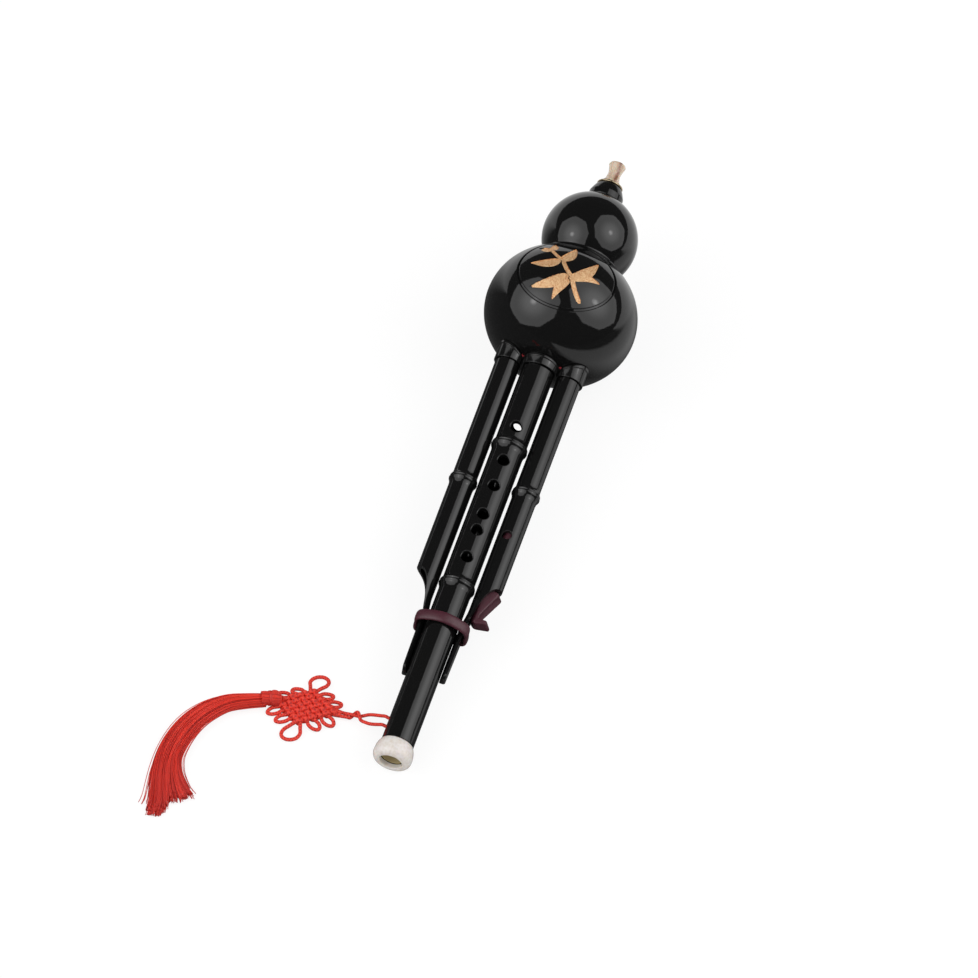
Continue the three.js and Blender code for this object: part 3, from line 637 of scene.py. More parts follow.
class Finish:
    """A material with its shader, which each finish then sets."""

    def __init__(self, name: str) -> None:
        """Makes the material and its shader.

        Args:
            name: The material's name.
        """
        self.material = bpy.data.materials.new(name)
        self.material.use_nodes = True
        self.tree = self.material.node_tree
        self.tree.nodes.clear()
        self.shader = self.tree.nodes.new("ShaderNodeBsdfPrincipled")
        self.out = self.tree.nodes.new("ShaderNodeOutputMaterial")
        self.tree.links.new(self.shader.outputs["BSDF"], self.out.inputs["Surface"])
        self.coords = self.tree.nodes.new("ShaderNodeTexCoord")

    def set(self, **values: object) -> None:
        """Sets inputs of the shader, with _ for a space in a name."""
        for key, value in values.items():
            self.shader.inputs[key.replace("_", " ")].default_value = value

    def feed(self, name: str, socket: bpy.types.NodeSocket) -> None:
        """Links a socket to an input of the shader."""
        self.tree.links.new(socket, self.shader.inputs[name])

    def grained(self, stretch: tuple[float, float, float]) -> bpy.types.NodeSocket:
        """Gives coordinates in millimetres along, across and out of the pipes, each divided.

        Args:
            stretch: The size of the grain along, to the side and to the front, in millimetres.

        Returns:
            The coordinates' socket.
        """
        tilt = math.atan2(LIE.along[2], LIE.along[0])
        turn = add_node(self.tree, "ShaderNodeMapping", {"Vector": self.coords.outputs["Object"]},
                        Rotation=(0.0, tilt, 0.0))
        scale = tuple(1.0 / (s * MM) for s in stretch)
        return add_node(self.tree, "ShaderNodeMapping", {"Vector": turn.outputs["Vector"]},
                        Scale=scale).outputs["Vector"]

    def bump(self, height: bpy.types.NodeSocket, depth: float, strength: float = 1.0,
             under: bpy.types.NodeSocket | None = None) -> bpy.types.NodeSocket:
        """Makes a bump and feeds it to the shader.

        Args:
            height: The height's socket, from 0 to 1.
            depth: The full height in millimetres.
            strength: How strongly it shows.
            under: The normal that it lies on.

        Returns:
            The normal's socket.
        """
        links = {"Height": height}
        if under is not None:
            links["Normal"] = under
        node = add_node(self.tree, "ShaderNodeBump", links, Distance=depth * MM, Strength=strength)
        self.feed("Normal", node.outputs["Normal"])
        return node.outputs["Normal"]


@dataclass(frozen=True)
class BlackLacquer:
    """Black polyester lacquer, sprayed in coats and buffed: a deep mirror, barely rippled."""

    name: str
    colour: str = "#101010"
    roughness: float = 0.05
    ripple_mm: float = 5.0
    grain_mm: tuple[float, float, float] = (26.0, 0.9, 0.9)
    grain_depth_mm: float = 0.0

    def material(self) -> bpy.types.Material:
        """Builds the lacquer."""
        finish = Finish(self.name)
        tree = finish.tree
        finish.set(IOR=1.5)
        # The buffing leaves a faint haze that changes slowly over the surface
        haze = add_node(tree, "ShaderNodeTexNoise", {"Vector": finish.grained((9.0, 9.0, 9.0))},
                        Detail=4.0)
        rough = add_node(tree, "ShaderNodeMapRange", {"Value": haze.outputs["Fac"]},
                         To_Min=self.roughness * 0.7, To_Max=self.roughness * 1.5)
        finish.feed("Roughness", rough.outputs["Result"])
        # Sprayed coats pull into a shallow ripple of a few millimetres
        ripple = add_node(tree, "ShaderNodeTexNoise", {
            "Vector": finish.grained((self.ripple_mm,) * 3)}, Detail=2.0)
        normal = finish.bump(ripple.outputs["Fac"], 0.012)
        if self.grain_depth_mm:
            # The fibres of the bamboo run along the pipe and print faintly through the coats
            fibre = add_node(tree, "ShaderNodeTexNoise", {"Vector": finish.grained(self.grain_mm)},
                             Detail=3.0)
            finish.bump(fibre.outputs["Fac"], self.grain_depth_mm, under=normal)
        # Fine dust lies on the gloss
        dust = add_node(tree, "ShaderNodeTexVoronoi", {"Vector": finish.grained((1.7, 1.7, 1.7))})
        speck = add_node(tree, "ShaderNodeMapRange", {"Value": dust.outputs["Distance"]},
                         From_Min=0.05, From_Max=0.09, To_Min=1.0, To_Max=0.0)
        finish.feed("Base Color", blended(tree, speck.outputs["Result"], self.colour, "#2c2c2e"))
        return finish.material


@dataclass(frozen=True)
class PaleStone:
    """Cast resin that imitates pale jade, turned and polished: milky, with faint clouds inside."""

    name: str
    colour: str = "#ece6e2"
    cloud: str = "#ded5cb"
    cloud_mm: float = 8.0

    def material(self) -> bpy.types.Material:
        """Builds the resin."""
        finish = Finish(self.name)
        finish.set(Roughness=0.16, IOR=1.5, Subsurface_Weight=0.35, Subsurface_Scale=0.0015,
                   Coat_Weight=0.3, Coat_Roughness=0.05)
        finish.shader.inputs["Subsurface Radius"].default_value = (1.0, 0.7, 0.5)
        clouds = add_node(finish.tree, "ShaderNodeTexNoise", {
            "Vector": finish.grained((self.cloud_mm,) * 3)}, Detail=3.0)
        share = add_node(finish.tree, "ShaderNodeMapRange", {"Value": clouds.outputs["Fac"]},
                         From_Min=0.4, From_Max=0.75)
        finish.feed("Base Color", blended(finish.tree, share.outputs["Result"], self.colour,
                                          self.cloud))
        return finish.material


@dataclass(frozen=True)
class Horn:
    """The tip of an ox horn, turned and polished: cream, with brown fibres along it."""

    name: str
    brown: str = "#85543a"
    fibre_mm: tuple[float, float, float] = (12.0, 1.3, 1.3)
    streak_side_mm: float = -1.7

    def material(self) -> bpy.types.Material:
        """Builds the horn."""
        finish = Finish(self.name)
        tree = finish.tree
        finish.set(Roughness=0.14, IOR=1.54, Subsurface_Weight=0.2, Subsurface_Scale=0.001,
                   Coat_Weight=0.4, Coat_Roughness=0.04)
        fibres = add_node(tree, "ShaderNodeTexNoise", {"Vector": finish.grained(self.fibre_mm)},
                          Detail=5.0, Distortion=0.4)
        # The dark heart of the horn comes to the surface as one wavering streak
        place = add_node(tree, "ShaderNodeSeparateXYZ", {0: finish.grained((1.0, 1.0, 1.0))})
        waver = add_node(tree, "ShaderNodeMapRange", {"Value": fibres.outputs["Fac"]},
                         To_Min=-1.5 - self.streak_side_mm, To_Max=1.5 - self.streak_side_mm)
        away = add_node(tree, "ShaderNodeMath", {0: place.outputs[1], 1: waver.outputs["Result"]},
                        operation="ADD")
        near = add_node(tree, "ShaderNodeMath", {0: away.outputs[0]}, operation="ABSOLUTE")
        share = add_node(tree, "ShaderNodeMapRange", {"Value": near.outputs[0]},
                         From_Min=0.15, From_Max=1.5, To_Min=1.0, To_Max=0.0)
        shallow = blended(tree, fibres.outputs["Fac"], "#e2d2bf", "#c8a98b")
        finish.feed("Base Color", blended(tree, share.outputs["Result"], shallow, self.brown))
        return finish.material


@dataclass(frozen=True)
class SheetMetal:
    """Turned or rolled metal: fine tool marks round it, and a little tarnish."""

    name: str
    colour: str
    roughness: float = 0.22

    def material(self) -> bpy.types.Material:
        """Builds the metal."""
        finish = Finish(self.name)
        finish.set(Metallic=1.0)
        marks = add_node(finish.tree, "ShaderNodeTexNoise", {
            "Vector": finish.grained((0.25, 4.0, 4.0))}, Detail=2.0)
        rough = add_node(finish.tree, "ShaderNodeMapRange", {"Value": marks.outputs["Fac"]},
                         To_Min=self.roughness * 0.7, To_Max=self.roughness * 1.6)
        finish.feed("Roughness", rough.outputs["Result"])
        finish.feed("Base Color", blended(
            finish.tree, marks.outputs["Fac"], self.colour, "#8f7d5c"))
        finish.bump(marks.outputs["Fac"], 0.01)
        return finish.material


@dataclass(frozen=True)
class Gilding:
    """Gold paint brushed into an engraved recess, orange at the edges: mottled at random, its pale
    gold patches are heavy paint and painted highlights.
    """

    name: str
    pale_gold: str = "#fcdcab"
    thin: str = "#c06c2e"

    def material(self) -> bpy.types.Material:
        """Builds the gilding."""
        finish = Finish(self.name)
        tree = finish.tree
        finish.set(Metallic=0.35, Roughness=0.42)
        brushed = add_node(tree, "ShaderNodeTexNoise", {
            "Vector": finish.grained((2.4, 2.4, 2.4))}, Detail=5.0)
        grains = add_node(tree, "ShaderNodeTexNoise", {
            "Vector": finish.grained((0.35, 0.35, 0.35))}, Detail=2.0)
        share = add_node(tree, "ShaderNodeMapRange", {"Value": brushed.outputs["Fac"]},
                         From_Min=0.36, From_Max=0.6)
        # The pale gold patches of the mottle are painted highlights as well as heavier paint
        finish.feed("Base Color", blended(tree, share.outputs["Result"], self.thin, self.pale_gold))
        finish.bump(grains.outputs["Fac"], 0.08, 0.6)
        return finish.material


@dataclass(frozen=True)
class Rubber:
    """Moulded rubber: an even satin skin with a fine matt tooth."""

    name: str
    colour: str = "#522431"

    def material(self) -> bpy.types.Material:
        """Builds the rubber."""
        finish = Finish(self.name)
        finish.set(IOR=1.48)
        tooth = add_node(finish.tree, "ShaderNodeTexNoise", {
            "Vector": finish.grained((0.5, 0.5, 0.5))}, Detail=3.0)
        worn = add_node(finish.tree, "ShaderNodeTexNoise", {
            "Vector": finish.grained((7.0, 7.0, 7.0))}, Detail=2.0)
        rough = add_node(finish.tree, "ShaderNodeMapRange", {"Value": worn.outputs["Fac"]},
                         To_Min=0.34, To_Max=0.48)
        finish.feed("Roughness", rough.outputs["Result"])
        finish.feed("Base Color", blended(
            finish.tree, worn.outputs["Fac"], self.colour, "#3f1a24"))
        finish.bump(tooth.outputs["Fac"], 0.02, 0.5)
        return finish.material


@dataclass(frozen=True)
class BraidedCord:
    """Silky cord braided from eight fine strands, whose crowns cross in small diamonds."""

    name: str
    bright: str = "#f4402e"
    deep: str = "#b01a19"
    strand_mm: float = 0.85
    round_count: float = 4.0

    def material(self) -> bpy.types.Material:
        """Builds the braid."""
        finish = Finish(self.name)
        tree = finish.tree
        finish.set(Roughness=0.6, Sheen_Weight=0.18, Sheen_Roughness=0.4)
        finish.shader.inputs["Sheen Tint"].default_value = linear("#ff8a70")
        along = add_node(tree, "ShaderNodeAttribute", attribute_name="along").outputs["Fac"]
        around = add_node(tree, "ShaderNodeAttribute", attribute_name="around").outputs["Fac"]
        waves = [self.wave(tree, along, around, turn) for turn in (1.0, -1.0)]
        crowns = add_node(tree, "ShaderNodeMath", operation="MAXIMUM")
        for i, wave in enumerate(waves):
            tree.links.new(wave, crowns.inputs[i])
        # The base colour is darker between the strands' crowns: painted shade in the valleys of the
        # braid
        finish.feed("Base Color", blended(tree, crowns.outputs["Value"], self.deep, self.bright))
        finish.bump(crowns.outputs["Value"], 0.16)
        return finish.material

    def wave(self, tree: bpy.types.NodeTree, along: bpy.types.NodeSocket,
             around: bpy.types.NodeSocket, turn: float) -> bpy.types.NodeSocket:
        """Makes the crowns of the strands that wind one way.

        Args:
            tree: The node tree.
            along: The place along the cord in metres.
            around: The place round the cord, from 0 to 1.
            turn: 1 or -1 for the two ways.

        Returns:
            The height's socket, from 0 to 1.
        """
        run = add_node(tree, "ShaderNodeMath", {0: along}, operation="MULTIPLY")
        run.inputs[1].default_value = 2 * math.pi / (self.strand_mm * 2 * MM)
        spin = add_node(tree, "ShaderNodeMath", {0: around, 2: run.outputs[0]},
                        operation="MULTIPLY_ADD")
        spin.inputs[1].default_value = 2 * math.pi * self.round_count * turn / 2
        wave = add_node(tree, "ShaderNodeMath", {0: spin.outputs[0]}, operation="SINE")
        return add_node(tree, "ShaderNodeMapRange", {"Value": wave.outputs[0]}, From_Min=-1.0,
                        From_Max=1.0).outputs["Result"]


@dataclass(frozen=True)
class Thread:
    """Glossy rayon thread: each catches the light along its length, and each differs a little."""

    name: str
    bright: str = "#ff4430"
    deep: str = "#b0120f"

    def material(self) -> bpy.types.Material:
        """Builds the thread."""
        finish = Finish(self.name)
        tree = finish.tree
        finish.set(Roughness=0.5, Sheen_Weight=0.15, Sheen_Roughness=0.3)
        finish.shader.inputs["Sheen Tint"].default_value = linear("#ff7a64")
        tone = add_node(tree, "ShaderNodeAttribute", attribute_name="tone").outputs["Fac"]
        # The tone carries painted shade at the edges of the tassel's bunches as well as each
        # thread's own colour
        finish.feed("Base Color", blended(tree, tone, self.deep, self.bright))
        slubs = add_node(tree, "ShaderNodeTexNoise", {
            "Vector": finish.grained((0.5, 0.5, 0.5))}, Detail=2.0)
        finish.bump(slubs.outputs["Fac"], 0.05, 0.5)
        return finish.material


@dataclass(frozen=True)
class PlainLining:
    """A hidden lining of thread, cork or cord: mottled and matt."""

    name: str
    colour: str
    dark: str
    grain_mm: float = 0.6

    def material(self) -> bpy.types.Material:
        """Builds the lining."""
        finish = Finish(self.name)
        finish.set(Roughness=0.8)
        grain = add_node(finish.tree, "ShaderNodeTexNoise", {
            "Vector": finish.grained((self.grain_mm, self.grain_mm * 4, self.grain_mm * 4))},
            Detail=4.0)
        finish.feed("Base Color", blended(
            finish.tree, grain.outputs["Fac"], self.dark, self.colour))
        finish.bump(grain.outputs["Fac"], 0.15)
        return finish.material


class Slot(Enum):
    """The material slots of the record."""

    GOURD = "lacquered_gourd"
    BAMBOO = "lacquered_bamboo"
    HARDWOOD = "lacquered_hardwood"
    RESIN = "pale_resin"
    HORN = "ox_horn"
    CORK = "cork"
    RING = "ring_metal"
    BRASS = "reed_brass"
    RUBBER = "burgundy_rubber"
    THREAD = "red_thread"
    CORD = "red_cord"
    GILT = "gilding"


FINISHES = {
    Slot.GOURD: BlackLacquer("gourd_lacquer", ripple_mm=7.0),
    Slot.BAMBOO: BlackLacquer("pipe_lacquer", grain_depth_mm=0.006),
    Slot.HARDWOOD: BlackLacquer("seat_lacquer", roughness=0.1, ripple_mm=2.5),
    Slot.RESIN: PaleStone("cap_resin"),
    Slot.HORN: Horn("tip_horn"),
    Slot.CORK: PlainLining("tenon_cork", "#b98a5b", "#7c5530"),
    Slot.RING: SheetMetal("ring_metal", "#cdbb9f"),
    Slot.BRASS: SheetMetal("reed_brass", "#d9b05c", 0.35),
    Slot.RUBBER: Rubber("plug_rubber"),
    Slot.THREAD: Thread("tassel_thread"),
    Slot.CORD: BraidedCord("knot_cord"),
    Slot.GILT: Gilding("gourd_gilding"),
}


class Wardrobe:
    """Every material, made once, and the way a piece is put on."""

    def __init__(self) -> None:
        """Makes the materials."""
        self.materials = {slot: finish.material() for slot, finish in FINISHES.items()}
        self.lining = PlainLining("lapping_thread", "#a8222c", "#6d1018").material()
        self.bare = PlainLining("bare_bamboo", "#e4d6ac", "#c2ae7a", 0.9).material()

    def dress(self, obj: bpy.types.Object, slot: Slot, body: str,
              replaces: Sequence[str] = ()) -> bpy.types.Object:
        """Gives a piece its material, its body and its place in the frame.

        Args:
            obj: The piece.
            slot: The record's slot that it is made of.
            body: The body that it moves with.
            replaces: The nodes of the frame that it stands for.

        Returns:
            The piece.
        """
        obj.data.materials.clear()
        obj.data.materials.append(self.materials[slot])
        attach(obj, body)
        if replaces:
            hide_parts(*replaces)
        LOG.info("%s: %s on %s, %d faces", obj.name, slot.value, body, len(obj.data.polygons))
        return obj

    def line(self, node: str, slot: Slot) -> None:
        """Gives a hidden node of the frame its material.

        Args:
            node: The node's name.
            slot: The record's slot that it is made of.
        """
        obj = frame["nodes"][node]
        hidden_thread = slot in (Slot.THREAD, Slot.CORD)
        obj.data.materials.clear()
        obj.data.materials.append(self.lining if hidden_thread else self.materials[slot])
        LOG.info("%s: kept, %s", node, slot.value)


def grid_surface(radius_at: RadiusAt, start: float, end: float, step: float) -> Profile:
    """Samples a turned surface.

    Args:
        radius_at: The radius at a station.
        start: The first station.
        end: The last station.
        step: The distance between stations.

    Returns:
        Radius and station of each sample.
    """
    stations = np.linspace(start, end, max(int(round((end - start) / step)), 1) + 1)
    return [(float(r), float(s)) for r, s in zip(radius_at(stations), stations)]


def joined(parts: Sequence[bpy.types.Object]) -> bpy.types.Object:
    """Puts several pieces that lie clear of one another into one.

    Args:
        parts: The pieces; all but the first are removed.

    Returns:
        The first piece, with the others' faces.
    """
    work = bmesh.new()
    for part in parts:
        work.from_mesh(part.data)
    work.to_mesh(parts[0].data)
    work.free()
    for part in parts[1:]:
        bpy.data.objects.remove(part)
    return parts[0]


def hole_cutter(radius: float, station: float, angle: float, skin: float, rim: float,
                place: tuple[float, float] = (0.0, 0.0), shift: float = 0.0,
                sides: int = 72) -> bpy.types.Object:
    """Makes the cutter of a round hole whose rim is rounded over into a pipe's skin.

    Args:
        radius: The hole's radius.
        station: Its place along the pipe.
        angle: Its direction in degrees, 0 to the front and 90 to the tassel's side.
        skin: The radius of the pipe.
        rim: The radius of the rounding.
        place: The pipe's axis, to the side and to the front.
        shift: How far the hole stands off the pipe's axis.
        sides: The number of facets.

    Returns:
        The cutter.
    """
    turns = (np.arange(sides) + 0.3) * 2 * math.pi / sides
    out = np.array([0.0, math.sin(math.radians(angle)), math.cos(math.radians(angle))])
    over = np.array([0.0, out[2], -out[1]])
    middle = np.array([station, place[0], place[1]])

    def ring(reach: float, lift: float | None, drop: float = 0.0) -> np.ndarray:
        across = reach * np.sin(turns) + shift
        height = (np.full(sides, lift) if lift is not None
                  else np.sqrt(skin ** 2 - across ** 2) - drop)
        return (middle + np.outer(reach * np.cos(turns), [1.0, 0.0, 0.0]) + np.outer(across, over)
                + np.outer(height, out))

    rings = [ring(radius, 0.0)]
    for i in range(6):
        turn = i / 5 * math.pi / 2
        rings.append(ring(radius + rim * (1 - math.cos(turn)), None, rim * (1 - math.sin(turn))))
    rings.append(ring(radius + rim + 0.04, None, -0.06))
    rings.append(ring(radius + rim + 0.04, skin + 2.0))
    return skinned("cutter", np.array(rings))


def node_swell(radius: float, node_radius: float, station: float) -> list[tuple[float, float]]:
    """Gives the swell of a bamboo node: gentle below a thin double ridge, and shorter above it.

    Args:
        radius: The pipe's radius.
        node_radius: The radius of the ridge.
        station: The ridge's place.

    Returns:
        Station and radius of each point.
    """
    rise = node_radius - radius
    shares = ((-5.2, 0.0), (-2.9, 0.3), (-1.2, 0.96), (-0.75, 1.0), (-0.3, 0.62), (0.05, 0.72),
              (0.5, 0.84), (0.9, 0.72), (2.0, 0.25), (3.6, 0.0))
    return [(station + along, radius + rise * up) for along, up in shares]


@dataclass(frozen=True)
class MelodySizes:
    """The melody pipe, its bore, nodes and holes."""

    radius: float = 9.0
    bore: float = 6.1
    tenon: float = 7.2
    reed_bore: float = 4.8
    start: float = 3.2
    shoulder_start: float = 11.5
    foot_tenon: float = 7.6
    shoulder: float = 254.42
    top: float = 292.0
    end_wall: float = 3.0
    node_radius: float = 10.2
    nodes: tuple[float, ...] = (114.5, 204.9)
    hole_radius: float = 3.05
    holes: tuple[float, ...] = (129.1, 146.6, 157.0, 175.6, 192.1, 214.1)
    thumb_hole: float = 223.0
    cord_holes: tuple[float, ...] = (21.0, 26.3)
    cord_hole_radius: float = 1.2
    cord_hole_angle: float = 102.0
    rim: float = 0.9
    bare: float = 60.0
    sides: int = 160


@dataclass(frozen=True)
class DroneSizes:
    """A drone pipe with its scooped mouth and its tongue."""

    side: Side
    scoop_top: float
    foot: float
    node: float
    vent: float | None = None
    radius: float = 6.85
    bore: float = 4.5
    tenon: float = 5.1
    reed_bore: float = 3.5
    node_radius: float = 8.0
    shoulder: float = 254.42
    top: float = 286.0
    end_wall: float = 3.0
    spacing: float = 17.3
    setback: float = 1.8
    scoop_length: float = 22.0
    tongue_depth: float = 3.5
    tip_depth: float = 3.0
    half_width: float = 5.0
    narrow: float = 3.4
    narrow_from: float = 90.0
    bend: float = 1.4
    bend_from: float = 104.0
    vent_radius: float = 2.6
    vent_shift: float = 1.45
    rim: float = 0.3
    sides: int = 128


class Pipes:
    """The melody pipe and the drones, of lacquered bamboo."""

    def __init__(self, wardrobe: Wardrobe, melody: MelodySizes,
                 drones: Sequence[DroneSizes]) -> None:
        """Builds the three pipes.

        Args:
            wardrobe: The materials.
            melody: The melody pipe's sizes.
            drones: The drones' sizes.
        """
        pipe = wardrobe.dress(self.melody_pipe(melody), Slot.BAMBOO, "melody", ["melody_pipe"])
        # The bore is bare bamboo only near the foot; above that the black lacquer lines it,
        # a painted shade that keeps the finger holes dark inside
        pipe.data.materials.append(wardrobe.bare)
        local = LIE.read(np.array([tuple(p.center) for p in pipe.data.polygons]))
        inside = ((np.linalg.norm(local[:, 1:], axis=1) < melody.bore + 0.2)
                  & (local[:, 0] < melody.bare))
        pipe.data.polygons.foreach_set("material_index", inside.astype(np.int32))
        for drone in drones:
            name = drone.side.name.lower()
            wardrobe.dress(self.drone_pipe(drone), Slot.BAMBOO, f"{name}_drone",
                           [f"{name}_drone_pipe"])

    def melody_pipe(self, size: MelodySizes) -> bpy.types.Object:
        """Turns the melody pipe and cuts its holes."""
        swell = [point for node in size.nodes
                 for point in node_swell(size.radius, size.node_radius, node)]
        radius_at = smooth([(size.shoulder_start, size.radius), *swell,
                            (size.shoulder, size.radius)])
        inner_end = size.top - size.end_wall
        skin = [(size.radius - 0.25, size.shoulder_start)]
        skin += grid_surface(radius_at, size.shoulder_start + 0.25, size.nodes[0] - 5.2, 4.0)
        skin += grid_surface(radius_at, size.nodes[0] - 5.0, size.nodes[0] + 3.6, 0.2)
        skin += grid_surface(radius_at, size.nodes[0] + 4.0, size.nodes[1] - 5.2, 4.0)
        skin += grid_surface(radius_at, size.nodes[1] - 5.0, size.nodes[1] + 3.6, 0.2)
        skin += grid_surface(radius_at, size.nodes[1] + 4.0, size.shoulder - 0.25, 4.0)
        profile = [(0.0, inner_end), (size.reed_bore, inner_end), (size.reed_bore, size.shoulder),
                   (size.bore, size.shoulder - 1.3), (size.bore, size.bare),
                   (size.bore, size.start),
                   (size.foot_tenon, size.start), (size.foot_tenon, size.shoulder_start), *skin,
                   (size.radius - 0.25, size.shoulder), (size.tenon, size.shoulder),
                   (size.tenon, size.top - 0.5), (size.tenon - 0.5, size.top), (0.0, size.top)]
        pipe = turned("melody_pipe_lacquered", profile, size.sides)
        cutters = [hole_cutter(size.hole_radius, s, 0.0, size.radius, size.rim)
                   for s in size.holes]
        cutters.append(hole_cutter(size.hole_radius, size.thumb_hole, 180.0, size.radius,
                                   size.rim))
        cutters += [hole_cutter(size.cord_hole_radius, s, size.cord_hole_angle, size.radius, 0.2,
                                sides=32) for s in size.cord_holes]
        carve(pipe, joined(cutters))
        reed_bed(pipe, size.top - size.end_wall, 6.0, size.tenon, 2.6)
        return laid(pipe, radius_at)

    def drone_pipe(self, size: DroneSizes) -> bpy.types.Object:
        """Turns a drone and cuts its mouth, its tongue and its vent."""
        place = (size.side.value * size.spacing, -size.setback)
        swell = node_swell(size.radius, size.node_radius, size.node)
        radius_at = smooth([(size.foot, size.radius), *swell, (size.shoulder, size.radius)])
        inner_end = size.top - size.end_wall
        skin = grid_surface(radius_at, size.foot, size.node - 5.2, 2.0)
        skin += grid_surface(radius_at, size.node - 5.0, size.node + 3.6, 0.2)
        skin += grid_surface(radius_at, size.node + 4.0, size.shoulder - 0.25, 4.0)
        bore_at = smooth([(size.narrow_from, size.narrow), (size.narrow_from + 4.5, size.bore)])
        bore = grid_surface(bore_at, size.foot, size.bend_from + 2.0, 1.5)[::-1]
        profile = [(0.0, inner_end), (size.reed_bore, inner_end), (size.reed_bore, size.shoulder),
                   (size.bore, size.shoulder - 1.0), *bore, *skin,
                   (size.radius - 0.25, size.shoulder), (size.tenon, size.shoulder),
                   (size.tenon, size.top - 0.5), (size.tenon - 0.5, size.top), (0.0, size.top)]
        name = f"{size.side.name.lower()}_drone_lacquered"
        pipe = turned(name, profile, size.sides, *place)
        carve(pipe, self.scoop(size, place))
        carve(pipe, self.flanks(size, place))
        if size.vent is not None:
            shift = -size.side.value * size.vent_shift
            carve(pipe, hole_cutter(size.vent_radius, size.vent, 0.0, size.radius, size.rim, place,
                                    shift))
        reed_bed(pipe, size.top - size.end_wall, 4.1, size.tenon, 1.8, place)
        # The band draws the tongue in until it all but touches the melody pipe
        for vertex in pipe.data.vertices:
            share = min(max((size.bend_from - vertex.co.x) / 14.0, 0.0), 1.0)
            vertex.co.y -= size.side.value * size.bend * share * share * (3 - 2 * share)
        return laid(pipe, radius_at, *place, sharp=28.0)

    def scoop(self, size: DroneSizes, place: tuple[float, float]) -> bpy.types.Object:
        """Makes the cutter of a drone's mouth and of the outer face of its tongue."""
        cut = size.tongue_depth - size.radius
        past = size.radius + 2.0
        low = size.scoop_top - size.scoop_length
        t = np.linspace(0, 1, 49)[:, None]
        corners = np.array([
            [size.scoop_top, size.radius],
            [size.scoop_top - size.scoop_length * 0.055, size.radius * 0.15],
            [size.scoop_top - size.scoop_length * 0.36, cut * 0.77], [low, cut]])
        curve = ((1 - t) ** 3 * corners[0] + 3 * t * (1 - t) ** 2 * corners[1]
                 + 3 * t * t * (1 - t) * corners[2] + t ** 3 * corners[3])
        turn = np.linspace(math.pi / 2, math.pi, 13)[:, None]
        end = np.hstack([size.foot + 2.8 * (1 + np.cos(turn)),
                         size.tip_depth * np.sin(turn) - size.radius - 0.02])
        line = np.vstack([[[size.foot - 2.0, past], [size.scoop_top, past]], curve, end,
                          [[size.foot - 2.0, -size.radius - 0.02]]])

        def to_frame(points: np.ndarray) -> np.ndarray:
            side = place[0] + size.side.value * points[:, 1]
            return np.stack([points[:, 0], side, place[1] + points[:, 2]], axis=1)

        return prism(line, (-past, past), to_frame)

    def flanks(self, size: DroneSizes, place: tuple[float, float]) -> bpy.types.Object:
        """Makes the cutter that narrows a tongue from the front and the back to a round tip."""
        low = size.scoop_top - size.scoop_length
        half, past = size.half_width, size.radius + 2.0
        t = np.linspace(0, 1, 33)[:, None]
        corners = np.array([[low + half, -past], [low, -size.radius], [low, -half],
                                [low - half, -half]])
        lower = ((1 - t) ** 3 * corners[0] + 3 * t * (1 - t) ** 2 * corners[1]
                 + 3 * t * t * (1 - t) * corners[2] + t ** 3 * corners[3])
        turn = np.linspace(-math.pi / 2, -3 * math.pi / 2, 33)[:, None]
        tip = np.hstack([size.foot + half + half * np.cos(turn), half * np.sin(turn)])
        upper = lower[::-1] * np.array([1.0, -1.0])
        line = np.vstack([[[size.foot - 2.0, past], [size.foot - 2.0, -past]], lower, tip, upper])

        def to_frame(points: np.ndarray) -> np.ndarray:
            return np.stack([points[:, 0], place[0] + points[:, 2], place[1] + points[:, 1]],
                            axis=1)

        return prism(line, (-past, past), to_frame)


def reed_bed(pipe: bpy.types.Object, end: float, flat: float, tenon: float, tongue: float,
             place: tuple[float, float] = (0.0, 0.0)) -> None:
    """Cuts the flat and the slot that a reed lies on, near the top of a pipe.

    Args:
        pipe: The pipe.
        end: The station where the bed ends.
        flat: The height of the flat over the pipe's axis.
        tenon: The radius of the pipe there.
        tongue: The width of the reed's tongue.
        place: The pipe's axis, to the side and to the front.
    """
    start = end - 17.0
    past = tenon + 2.0
    half = tongue / 2 + 0.4
    for x0, x1, width, low in ((start - 0.3, end + 0.3, past, flat),
                               (start + 2.4, end - 2.4, half, 0.0)):
        line = np.array([[x0, -width], [x1, -width], [x1, width], [x0, width]])

        def to_frame(points: np.ndarray) -> np.ndarray:
            return points + np.array([0.0, place[0], place[1]])

        carve(pipe, prism(line, (low, past), to_frame))


@dataclass(frozen=True)
class GourdSizes:
    """The gourd, the ring engraved on it and the sprig inside the ring."""

    setback: float = 7.0
    bulb_radius: float = 42.0
    bulb_half: float = 38.3
    bulb_centre: float = 295.4
    crown_radius: float = 26.2
    crown_centre: float = 345.7
    waist_blend: float = 4.0
    wall: float = 3.0
    sides: int = 200
    ring_width: float = 26.8
    ring_height: float = 24.0
    ring_turn: float = 12.0
    ring_side: float = 3.0
    groove: float = 1.0
    leaf_depth: float = 0.45


